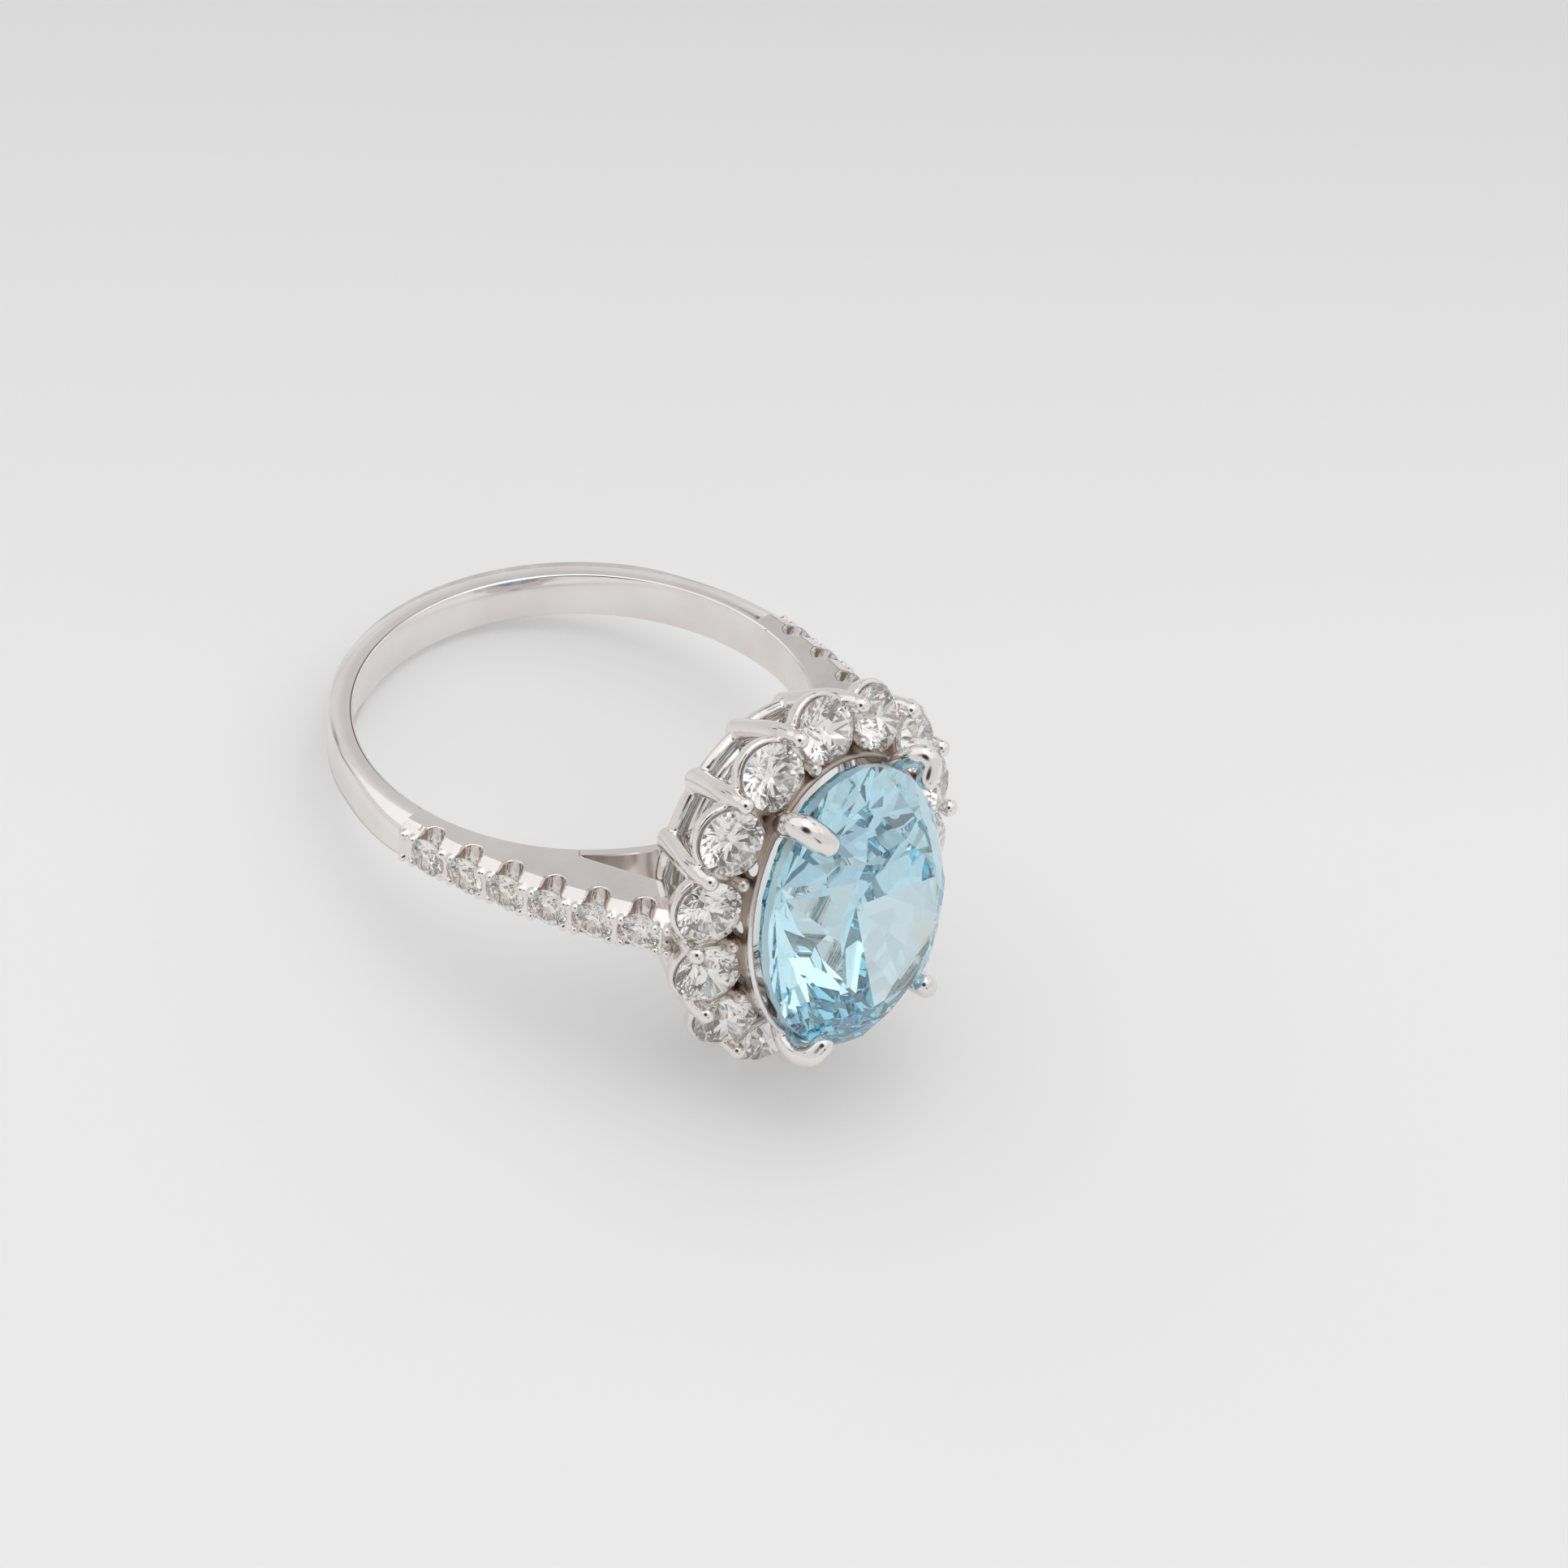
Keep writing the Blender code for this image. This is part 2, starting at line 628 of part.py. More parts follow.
def inner_prong_mesh(step):
    frame, outward = halo_frame_at(step)
    bead = prong_point(frame, outward, -INNER_BEAD_REACH, 0.62 * MM)
    foot = bead - Vector((0, 0, 1.25 * MM)) + outward * 0.12 * MM
    path, radii = domed_wire([foot, (foot + bead) / 2, bead], PRONG_RADIUS * 0.9,
                             PRONG_RADIUS * 0.9, 2)
    return wire_mesh(f"inner_prong_{step}", path, radii)


def make_halo(parts, guides, parent):
    foot_rail = oval_rail("foot_rail", PRONG_FOOT_HALF_X, PRONG_FOOT_HALF_Y,
                          PRONG_FOOT_Z + 0.12 * MM, FOOT_RAIL_WIRE, count=24)
    foot_rail.transform(Matrix.Translation((0, HALO_CENTRE_Y, 0)))
    meshes = [foot_rail] + [cup_mesh(i + 0.5) for i in range(HALO_STONES)]
    meshes += [outer_prong_mesh(i) for i in range(HALO_STONES)]
    meshes += [inner_prong_mesh(i) for i in range(HALO_STONES) if i not in CLAW_SLOTS]
    body = add_part("halo_frame", meshes[0], parts, parent, WHITE_METAL)
    boolean(body, "UNION", "halo_pieces", meshes[1:], guides, parent)
    radius = HALO_STONE_DIAMETER / 2
    mesh = brilliant_mesh("halo_stone", radius, radius, 0.08 * MM, 0.38 * MM, 1.05 * MM, 32)
    for index in range(HALO_STONES):
        frame, _ = halo_frame_at(index + 0.5)
        stone = add_part(f"halo_stone_{index + 1:02d}", mesh, parts, parent, CLEAR_STONE)
        stone.matrix_local = frame


def claw_mesh(side_x, side_y):
    """Claw from the gallery rail, past the girdle and over the crown. The stone is set a little
    towards -X and stands higher at its -Y end, and the claws follow it."""
    rise = 0.18 if side_y < 0 else 0.0
    lean = 0.0 if side_y < 0 else 0.26
    low = [(2.72, 3.9, 9.35), (2.64, 3.9, 11.5), (2.6 + lean, 3.82 + lean, 12.6)]
    high = [(3.04, 4.73, 13.7), (3.14, 5.05, 14.4 + rise / 2), (2.97, 4.87, 14.92 + rise),
            (2.64, 4.5, 15.14 + rise)]
    knots = [Vector((x * side_x, y * side_y, z)) * MM for x, y, z in low]
    knots += [Vector((x * side_x, y * side_y, z)) * MM + Vector((CENTRE_PLACE.x, 0, 0))
              + CLAW_PRESS.get((side_x, side_y), Vector()) * share
              for (x, y, z), share in zip(high, (0, 0.4, 0.85, 1))]
    path, radii = domed_wire(knots, CLAW_RADIUS, CLAW_ROOT_RADIUS, 3)
    return wire_mesh("claw", path, radii)


def stone_frame():
    return Matrix.Translation(CENTRE_PLACE) @ Matrix.Rotation(CENTRE_TILT, 4, "X")


def gallery_wall_mesh(count=26):
    """Oval wall from the halo up to the rail under the centre stone, scalloped by the cups."""
    place = stone_frame()
    shape = bmesh.new()
    rings = []
    for i in range(count):
        turn = 2 * pi * i / count
        around = Vector((cos(turn), sin(turn), 0))
        foot = Vector((WALL_FOOT_HALF_X * around.x, WALL_FOOT_HALF_Y * around.y + HALO_CENTRE_Y,
                       WALL_FOOT_Z))
        top = Vector(((STONE_RAIL_HALF_X + 0.06 * MM) * around.x,
                      (STONE_RAIL_HALF_Y + 0.06 * MM) * around.y, -STONE_RAIL_DROP))
        corners = [place @ top, foot, foot - around * WALL_THICKNESS,
                   place @ (top - around * WALL_THICKNESS - Vector((0, 0, 0.06 * MM)))]
        rings.append([shape.verts.new(p) for p in corners])
    for a, b in zip(rings, rings[1:] + rings[:1]):
        for j in range(4):
            k = (j + 1) % 4
            shape.faces.new((a[j], b[j], b[k], a[k]))
    bmesh.ops.recalc_face_normals(shape, faces=shape.faces)
    mesh = bpy.data.meshes.new("gallery_wall")
    shape.to_mesh(mesh)
    shape.free()
    return mesh


def cup_room_mesh(index):
    """Cutter that keeps the gallery wall clear of one halo cup."""
    frame, _ = halo_frame_at(index + 0.5)
    radius = CUP_OUTER_RADIUS + CUP_CLEARANCE
    shape = bmesh.new()
    bmesh.ops.create_cone(
        shape, cap_ends=True, segments=14, radius1=radius, radius2=radius, depth=CUP_ROOM_DEPTH)
    mesh = bpy.data.meshes.new("cup_room")
    shape.to_mesh(mesh)
    shape.free()
    mesh.transform(frame @ Matrix.Translation((0, 0, -CUP_ROOM_DROP)))
    return mesh


def stone_rail_mesh(count=26):
    """Thin rail just under the centre stone."""
    place = stone_frame()
    path = []
    for i in range(count):
        turn = 2 * pi * i / count
        path.append(place @ Vector((STONE_RAIL_HALF_X * cos(turn), STONE_RAIL_HALF_Y * sin(turn),
                                    -STONE_RAIL_DROP)))
    return wire_mesh("stone_rail", path, [STONE_RAIL_WIRE] * count, cyclic=True)


def make_basket(parts, guides, parent):
    meshes = [oval_rail("gallery", GALLERY_HALF_X, GALLERY_HALF_Y, GALLERY_Z, GALLERY_WIRE),
              oval_rail("seat", SEAT_HALF_X, SEAT_HALF_Y, SEAT_Z, SEAT_WIRE),
              gallery_wall_mesh(), stone_rail_mesh()]
    meshes += [claw_mesh(x, y) for x in (-1, 1) for y in (-1, 1)]
    body = add_part("centre_basket", meshes[0], parts, parent, WHITE_METAL)
    boolean(body, "UNION", "basket_pieces", meshes[1:], guides, parent)
    rooms = [cup_room_mesh(i) for i in range(HALO_STONES)]
    boolean(body, "DIFFERENCE", "cup_rooms", rooms, guides, parent)


def make_centre_stone(parts, parent):
    mesh = brilliant_mesh("centre_stone", CENTRE_HALF_X, CENTRE_HALF_Y, CENTRE_GIRDLE,
                          CENTRE_CROWN, CENTRE_PAVILION, 64, table=CENTRE_TABLE, turn=0.5,
                          step=CENTRE_STEP)
    stone = add_part("centre_stone", mesh, parts, parent, AQUA_STONE)
    stone.matrix_local = stone_frame()


# ---------------------------------------------------------------- placing

def ring_points(parts, parent):
    """Evaluated vertices of every part, in the ring's own axes."""
    bpy.context.view_layer.update()
    graph = bpy.context.evaluated_depsgraph_get()
    to_ring = parent.matrix_world.inverted()
    points = []
    for thing in parts.objects:
        seen = thing.evaluated_get(graph)
        matrix = to_ring @ thing.matrix_world
        points += [matrix @ vertex.co for vertex in seen.data.vertices]
    return points


def lay_on_side(parent, points):
    """Tilts the ring until band and halo touch one plane, and stands it on z = 0."""
    low, high = 0.0, radians(40)
    for _ in range(40):
        tilt = (low + high) / 2
        head = min(p.z * sin(tilt) + p.y * cos(tilt) for p in points if p.z > 0)
        band = min(p.z * sin(tilt) + p.y * cos(tilt) for p in points if p.z <= 0)
        if head < band:
            low = tilt
        else:
            high = tilt
    turn = Matrix.Rotation(pi / 2 - tilt, 4, "X")
    placed = [turn @ p for p in points]
    middle = [(min(p[i] for p in placed) + max(p[i] for p in placed)) / 2 for i in range(2)]
    floor = min(p.z for p in placed)
    parent.matrix_world = Matrix.Translation((-middle[0], -middle[1], -floor)) @ turn


def build():
    clear_scene()
    parts = new_collection("cocktail_ring")
    guides = new_collection("guides")
    parent = bpy.data.objects.new("ring_axes", None)
    bpy.context.scene.collection.objects.link(parent)
    make_band(parts, guides, parent)
    make_shoulder_stones(parts, parent)
    make_basket(parts, guides, parent)
    make_halo(parts, guides, parent)
    make_centre_stone(parts, parent)
    lay_on_side(parent, ring_points(parts, parent))


build()
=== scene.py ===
"""Halo cocktail ring lying on its side: smooth cast metal, faceted stones, studio floor and light.

Shapes are made in millimetres in the ring's own axes (X across the finger, Y along the finger,
Z towards the stones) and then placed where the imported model's band lies.
"""
import json
from math import atan2, cos, hypot, pi, radians, sin, sqrt

import bmesh
import bpy
from mathutils import Matrix, Vector


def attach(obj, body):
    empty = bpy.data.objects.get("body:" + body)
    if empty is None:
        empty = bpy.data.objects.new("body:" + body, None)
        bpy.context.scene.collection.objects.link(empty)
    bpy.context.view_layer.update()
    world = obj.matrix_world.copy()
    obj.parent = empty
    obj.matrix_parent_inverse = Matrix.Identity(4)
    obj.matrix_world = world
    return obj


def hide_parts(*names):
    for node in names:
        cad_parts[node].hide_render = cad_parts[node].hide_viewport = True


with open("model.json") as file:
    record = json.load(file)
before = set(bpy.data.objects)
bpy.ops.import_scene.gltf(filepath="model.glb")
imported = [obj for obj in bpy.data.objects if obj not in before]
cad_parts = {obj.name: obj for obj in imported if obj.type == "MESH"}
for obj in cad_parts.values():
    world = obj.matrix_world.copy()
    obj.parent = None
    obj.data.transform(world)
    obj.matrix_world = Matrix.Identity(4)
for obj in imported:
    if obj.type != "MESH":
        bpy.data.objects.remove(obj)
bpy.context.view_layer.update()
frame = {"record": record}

SCENE = bpy.context.scene
MM = 0.001

# Band, finger rail and shoulders (mm, angles from +Z). Shoulder and band meet at SPLIT, and
# the band is a plain ring beyond BULGE.
BORE = 8.5
BAND_OUTER = 9.46
HALF_WIDTH = 0.9
RAIL_OUTER = 8.93
SPLIT = radians(88)
BULGE = radians(114)
WINDOW_TIP = radians(45)
CREST_RADIUS = 23.0
CREST_REACH = 9.8
UNDERSIDE_LEAN = 0.36
SHOULDER_TOP = 11.05
CHAMFER_WIDTH = 0.35
CHAMFER_LOW = 0.45
CHAMFER_TOP = 0.8
CHAMFER_FADE = radians(38)
BACK_CHAMFER = 0.1
INNER_SOFTNESS = 0.07
RAIL_CHAMFER = 0.04
KNEE_HEIGHT = 6.3
KNEE_STEP = 0.04
SHANK_TUCK = radians(5)
RAIL_TUCK = radians(2.5)
TUCK_TRIM = 0.006

# Shoulder stones (mm): they sink deeper, and the U-cuts get deeper, from low to top
SHOULDER_STONES = 6
SMALL_RADIUS = 0.75
SMALL_PITCH = 1.76
SMALL_FIRST = 1.75
SINK_LOW = 0.1
SINK_TOP = 0.35
U_RADIUS = 0.37
U_LOW = 0.48
U_TOP = 0.82
U_FLARE = 1.12
CUT_REACH = 1.4
CUT_RISE = 1.2
SEAT_GAP = 0.05
POST_PRONG_OUT = 0.56
POST_PRONG_APART = 0.19
POST_PRONG_RADII = (0.17, 0.17, 0.18)

# Centre stone and its basket (mm): rail heights are wire middles, RAIL_DROP is from the girdle
CENTRE_HALF = (4.45, 5.6)
CENTRE_PLACE = Vector((-0.2, -0.18, 14.27))
CENTRE_TILT = radians(-5.7)
RAIL_HALF = (4.62, 5.77)
RAIL_DROP = -0.82
RAIL_WIRE = 0.12
GALLERY_HALF = (4.35, 5.0)
GALLERY_Z = 9.35
GALLERY_WIRE = 0.35
SEAT_HALF = (4.1, 5.05)
SEAT_Z = 11.5
SEAT_WIRE = 0.28
WALL_HALF = (4.7, 5.75)
WALL_FOOT_Z = 12.15
WALL_WINDOW = 0.3
WALL_WINDOW_Z = 12.75

# Claws (mm), for one corner: points from foot to tip, the upper ones moved with the stone in X.
# Those at the stone's higher end rise with it, the others are pressed down onto it.
CLAW_LOW = ((2.72, 3.9, 9.35), (2.64, 3.9, 11.5), (2.6, 3.82, 12.6))
CLAW_HIGH = ((3.02, 4.7, 13.7), (3.12, 5.02, 14.4), (2.97, 4.87, 14.92), (2.64, 4.5, 15.14))
CLAW_RADII = (0.36, 0.38, 0.42, 0.48, 0.53, 0.54, 0.5)
CLAW_RISE = 0.18
RISE_SHARES = (0, 0.5, 1, 1)
CLAW_PRESS = {(1, 1): (0.48, -0.35, -0.57), (-1, 1): (0.32, -0.33, -0.3)}
PRESS_SHARES = (0, 0.4, 0.85, 1)
STOUT_CLAW = (-1, 1)
SLIM_CLAW = 0.82

# Halo (mm): slots count from the -X end, a prong in each and a stone after each
HALO_STONES = 14
HALO_HALF = (5.85, 6.66)
HALO_SHIFT = -0.12
HALO_Z = 12.28
HALO_LEAN = radians(26)
FOOT_HALF = (5.03, 5.66)
FOOT_Z = 9.0
FOOT_WIRE = 0.3
CLAW_SLOTS = (2, 5, 9, 12)
SHOULDER_SLOTS = (0, 7)
CUP_PROFILE = ((1.44, -0.26), (1.44, -0.4), (1.42, -0.62), (1.37, -0.75), (1.28, -0.8),
               (1.06, -0.8), (1.0, -0.76), (1.08, -0.45), (1.16, -0.24), (1.2, -0.2),
               (1.38, -0.2))
OUTER_PRONG_RADII = (0.46, 0.42, 0.36, 0.31)
SHORT_PRONG_RADII = (0.28, 0.27, 0.27)
INNER_PRONG_RADII = (0.21, 0.21, 0.23)
OUTER_BEAD = 0.34
OUTER_BEAD_OUT = 0.72
OUTER_BEAD_UP = 0.13
INNER_BEAD = 0.275
INNER_BEAD_IN = 0.7
INNER_BEAD_UP = 0.62
INNER_PRONG_DROP = 1.25
SHORT_PRONG_DROP = 1.23

# Stone cuts: half sizes, girdle, crown height, pavilion depth (mm) and sides of the girdle
SMALL_GIRDLE = 0.06
CENTRE_CUT = (*CENTRE_HALF, 0.4, 1.65, 3.55, 96)
HALO_CUT = (1.25, 1.25, 0.08, 0.38, 1.05, 48)
SMALL_CUT = (SMALL_RADIUS, SMALL_RADIUS, SMALL_GIRDLE, 0.22, 0.62, 32)
CENTRE_TABLE = 0.6
CENTRE_STEP = 0.3
STEP_SLOPE = 2.4
# Slopes of the smaller facets, as shares of the main facets' slope
UPPER_GIRDLE_SLOPE = 1.2
STAR_SLOPE = 0.62
LOWER_GIRDLE_SLOPE = 1.05

# Casting: voxel and smoothing rounds of each cast piece, and the most points of a stray bubble
SHOULDER_CAST = (0.045, 4)
HALO_CAST = (0.06, 3)
BASKET_CAST = (0.05, 4)
SPECK = 500

# Looks of metal and stones: noise scales are per metre, WEAR_DEPTH is in metres
METAL_LIGHT = (0.9, 0.868, 0.85)
METAL_DARK = (0.84, 0.8, 0.778)
METAL_ROUGH = (0.05, 0.13)
CLOUD_SCALE = 420
POLISH_SCALE = 1500
WEAR_SCALE = 2600
WEAR_STRENGTH = 0.12
WEAR_DEPTH = 0.000012
# Painted shade of the recesses: their colour is mixed towards this darker, browner tone; they also
# grow rougher
RECESS_SHADE_TONE = (0.5, 0.41, 0.35)
RECESS_ROUGH = 0.3
SLIGHT_RECESS = 0.25
CUT_RECESS = 0.85
STONE_IOR = 2.15
GIRDLE_ROUGH = 0.35
ZONE_SCALE = 260
FACET_FIRE_SHARE = 0.55
SMALL_STONE_HAZE = 0.045
# Stone tones from violet to warm yellow: partly colour zoning, partly painted fire, a tint each
# facet gets by its number
AQUA_TONES = ((0.14, (0.84, 0.8, 1.0)), (0.2, (0.8, 0.93, 0.98)), (0.5, (0.9, 0.97, 0.99)),
              (0.76, (0.98, 0.99, 1.0)), (0.8, (1.0, 0.9, 0.62)))
AQUA_BODY = ((0.0, 0.76, 0.93), 42)
CLEAR_TONES = ((0.14, (0.95, 0.94, 1.0)), (0.25, (0.99, 0.985, 0.985)),
               (0.6, (1.0, 0.995, 0.99)), (0.8, (1.0, 0.96, 0.88)))

# Camera: axes and place in the ring's own axes (mm), focal length in sensor widths
CAMERA_RIGHT = Vector((0.70308469, 0.03085928, 0.71043623))
CAMERA_UP = Vector((0.40600488, 0.80279226, -0.43667453))
CAMERA_PLACE = Vector((-233.76102, 241.49242, 231.22648))
CAMERA_ZOOM = 7.06774
SENSOR_WIDTH = 36

# Floor (m): colours from the near end of the blend to its far end, darker at the back as painted
# fall-off of the light
FLOOR_REACH = 0.6
FLOOR_BLEND = (-0.03, 0.045)
FLOOR_TONES = ((0.0, (0.67, 0.67, 0.673)), (0.42, (0.665, 0.665, 0.668)),
               (0.75, (0.61, 0.61, 0.615)), (1.0, (0.555, 0.555, 0.562)))
# Painted light: the paper glows with its own colour, which lifts its shadows
FLOOR_GLOW = 0.36

# Light tent: each patch has a direction, its inner and outer edge (degrees) and its strength
TENT_BASE = 0.75
TENT_PANELS = (((-0.28, 0.64, 0.71), 16, 34, 1.6), ((0.25, 0.0, 1.0), 20, 50, 0.5),
               ((0.9, 0.1, 0.35), 20, 45, 0.1))
TENT_FOLDS = ((0.32, (0.15, 0.15, 0.15)), (0.4, (1, 1, 1)))
LENS_GAP = (11, 29, 0.06)
DIM_PATCH = ((0.574, 0.723, 0.384), 8, 24, 0.84)
TENT_TONES = ((0.0, (0.0, 0.0, 0.0)), (0.2, (0.2, 0.185, 0.18)), (0.55, (0.55, 0.54, 0.535)),
              (1.0, (1, 1, 1)))
KEY_PLACE = (0.02, 0.05, 0.36)
KEY_SIZE = 0.24
KEY_POWER = 0.12
RAY_BOUNCES = 24

# Place of the ring: its centre and axes come from the mount on the band's side
MOUNTS = {mount["name"]: mount for mount in frame["record"]["mounts"]}
AXIS_X = Vector((1, 0, 0))
AXIS_Y = -Vector(MOUNTS["band_side"]["axis"]).normalized()
AXIS_Z = AXIS_X.cross(AXIS_Y)
CENTRE = (Vector(MOUNTS["band_side"]["pos_m"]) + AXIS_Y * (HALF_WIDTH * MM)
          + AXIS_Z * ((BORE + BAND_OUTER) / 2 * MM))
TURN = Matrix((AXIS_X, AXIS_Y, AXIS_Z)).transposed()
PLACE = Matrix.Translation(CENTRE) @ TURN.to_4x4() @ Matrix.Scale(MM, 4)


# ---------------------------------------------------------------- mesh tools

def mesh_of(shape):
    """Mesh of a bmesh, which is freed."""
    mesh = bpy.data.meshes.new("work")
    shape.to_mesh(mesh)
    shape.free()
    return mesh


def new_mesh(shape):
    """Mesh of a bmesh, with its faces turned outwards."""
    bmesh.ops.recalc_face_normals(shape, faces=shape.faces)
    return mesh_of(shape)


def held(mesh):
    """Scratch object that holds a mesh for its modifiers."""
    thing = bpy.data.objects.new("work", mesh)
    SCENE.collection.objects.link(thing)
    return thing


def settled(thing, helpers=()):
    """Mesh of an object with its modifiers applied; the object is removed."""
    graph = bpy.context.evaluated_depsgraph_get()
    mesh = bpy.data.meshes.new_from_object(thing.evaluated_get(graph))
    for old in (thing, *helpers):
        bpy.data.objects.remove(old, do_unlink=True)
    return mesh


def carved(mesh, cutters):
    """The mesh with each cutter taken away in turn."""
    body = held(mesh)
    tools = [held(cutter) for cutter in cutters]
    for tool in tools:
        cut = body.modifiers.new("cut", "BOOLEAN")
        cut.operation = "DIFFERENCE"
        cut.solver = "EXACT"
        cut.object = tool
    bpy.context.view_layer.update()
    return settled(body, tools)


def joined(meshes):
    """One mesh of several, which keep their own skins."""
    shape = bmesh.new()
    for mesh in meshes:
        shape.from_mesh(mesh)
    return mesh_of(shape)


def fused(meshes, voxel, rounds):
    """Overlapping closed meshes cast into one skin, with small fillets where they meet."""
    body = held(joined(meshes))
    melt = body.modifiers.new("melt", "REMESH")
    melt.mode = "VOXEL"
    melt.voxel_size = voxel
    polish = body.modifiers.new("polish", "SMOOTH")
    polish.factor = 0.5
    polish.iterations = rounds
    bpy.context.view_layer.update()
    return without_specks(settled(body))


def without_specks(mesh):
    """The mesh without the tiny closed bubbles that casting leaves inside it."""
    shape = bmesh.new()
    shape.from_mesh(mesh)
    seen = set()
    specks = []
    for start in shape.verts:
        if start in seen:
            continue
        seen.add(start)
        island = [start]
        for vert in island:
            for edge in vert.link_edges:
                other = edge.other_vert(vert)
                if other not in seen:
                    seen.add(other)
                    island.append(other)
        if len(island) < SPECK:
            specks += island
    bmesh.ops.delete(shape, geom=specks, context="VERTS")
    shape.to_mesh(mesh)
    shape.free()
    return mesh


def add_piece(name, mesh, material, smooth=True, weighted=False):
    """A finished piece at its place in the frame, standing for the CAD node of its name."""
    mesh.transform(PLACE)
    mesh.name = name
    mesh.materials.clear()
    mesh.materials.append(material)
    for face in mesh.polygons:
        face.use_smooth = smooth
        face.material_index = 0
    piece = bpy.data.objects.new(name, mesh)
    SCENE.collection.objects.link(piece)
    if weighted:
        normals = piece.modifiers.new("normals", "WEIGHTED_NORMAL")
        normals.weight = 80
    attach(piece, "root")
    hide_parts(name)


def smooth_path(knots, steps):
    """Curve through all knots, with a number of steps between each two."""
    ends = [knots[0] * 2 - knots[1], *knots, knots[-1] * 2 - knots[-2]]
    path = []
    for a, b, c, d in zip(ends, ends[1:], ends[2:], ends[3:]):
        for i in range(steps):
            t = i / steps
            path.append(0.5 * (b * 2 + (c - a) * t + (a * 2 - b * 5 + c * 4 - d) * t * t
                               + (b * 3 - a - c * 3 + d) * t ** 3))
    path.append(knots[-1])
    return path


def eased(values, count):
    """Numbers spread evenly over count places."""
    out = []
    for i in range(count):
        at = i * (len(values) - 1) / (count - 1)
        low = min(int(at), len(values) - 2)
        out.append(values[low] + (values[low + 1] - values[low]) * (at - low))
    return out


def tube(path, radii, cyclic=False, segments=18):
    """Round wire along a path, with domed ends unless it is cyclic."""
    path = [Vector(p) for p in path]
    radii = list(radii)
    if not cyclic:
        head = (path[-1] - path[-2]).normalized()
        tail = (path[0] - path[1]).normalized()
        first, last = path[0].copy(), path[-1].copy()
        r0, r1 = radii[0], radii[-1]
        for turn in (20, 40, 58, 74, 85):
            path.append(last + head * r1 * sin(radians(turn)))
            radii.append(r1 * cos(radians(turn)))
            path.insert(0, first + tail * r0 * sin(radians(turn)))
            radii.insert(0, r0 * cos(radians(turn)))
    count = len(path)
    rings = []
    side = None
    for i in range(count):
        before = path[i - 1] if i or cyclic else path[i]
        after = path[(i + 1) % count] if i < count - 1 or cyclic else path[i]
        along = (after - before).normalized()
        if side is None:
            seed = Vector((0, 0, 1)) if abs(along.z) < 0.8 else Vector((1, 0, 0))
            side = along.cross(seed).normalized()
        side = (side - along * side.dot(along)).normalized()
        other = along.cross(side)
        ring = []
        for k in range(segments):
            turn = 2 * pi * k / segments
            ring.append(path[i] + (side * cos(turn) + other * sin(turn)) * radii[i])
        rings.append(ring)
    return lofted(rings, cyclic)


def ball(place, radius):
    shape = bmesh.new()
    bmesh.ops.create_icosphere(shape, subdivisions=3, radius=radius,
                               matrix=Matrix.Translation(place))
    return new_mesh(shape)


def turned(profile, count=48):
    """Closed ring turned round the Z axis from a profile of (radius, height)."""
    sections = [[(r * cos(2 * pi * i / count), r * sin(2 * pi * i / count), z)
                 for r, z in profile] for i in range(count)]
    return lofted(sections, cyclic=True)


def lofted(sections, cyclic=False):
    """Closed solid through sections that have the same number of points. It ends in flat caps,
    or runs round to its start."""
    shape = bmesh.new()
    rows = [[shape.verts.new(p) for p in row] for row in sections]
    size = len(rows[0])
    pairs = list(zip(rows, rows[1:]))
    if cyclic:
        pairs.append((rows[-1], rows[0]))
    for a, b in pairs:
        for j in range(size):
            k = (j + 1) % size
            shape.faces.new((a[j], a[k], b[k], b[j]))
    if not cyclic:
        shape.faces.new(rows[0])
        shape.faces.new(rows[-1])
    return new_mesh(shape)


def oval_path(half, height, count=96):
    """Points of a level oval round the Z axis."""
    return [Vector((half[0] * cos(2 * pi * i / count), half[1] * sin(2 * pi * i / count), height))
            for i in range(count)]


def axes_matrix(origin, normal, side):
    """Frame at a point, with Z along the normal and X as near to side as it can be."""
    z = normal.normalized()
    x = (side - z * side.dot(z)).normalized()
    y = z.cross(x)
    return Matrix.Translation(origin) @ Matrix((x, y, z)).transposed().to_4x4()


# ---------------------------------------------------------------- band and shoulders

def polar(radius, angle):
    """Point of the ring's middle plane, at an angle from +Z towards +X."""
    return Vector((radius * sin(angle), 0, radius * cos(angle)))


def crest(height):
    """Outer line of the right shoulder at a height, and its outward direction."""
    reach = sqrt(CREST_RADIUS ** 2 - height ** 2)
    point = Vector((CREST_REACH - CREST_RADIUS + reach, 0, height))
    return point, Vector((reach, 0, height)) / CREST_RADIUS


def bar_section(inner, outer, chamfer_width, chamfer_depth, trim=0.0, crown=0.03):
    """Section of the band between its inner and outer line, with chamfered outer corners and
    softened inner ones."""
    out = (outer - inner).normalized()
    half = HALF_WIDTH - trim
    inner = inner + out * trim
    outer = outer - out * trim
    soft = INNER_SOFTNESS
    width = Vector((0, 1, 0))
    points = []
    for y, lift in ((-half + chamfer_width, 0.0), (-half * 0.3, crown), (half * 0.3, crown),
                    (half - chamfer_width, 0.0)):
        points.append(outer + width * y + out * (lift - crown))
    points.append(outer + width * half - out * chamfer_depth)
    points.append(inner + width * half + out * soft * 2)
    points.append(inner + width * half + out * soft)
    points.append(inner + width * (half - soft * 0.3) + out * soft * 0.3)
    points.append(inner + width * (half - soft))
    points.append(inner - width * (half - soft))
    points.append(inner - width * (half - soft * 0.3) + out * soft * 0.3)
    points.append(inner - width * half + out * soft)
    points.append(inner - width * half + out * soft * 2)
    points.append(outer - width * half - out * chamfer_depth)
    return points


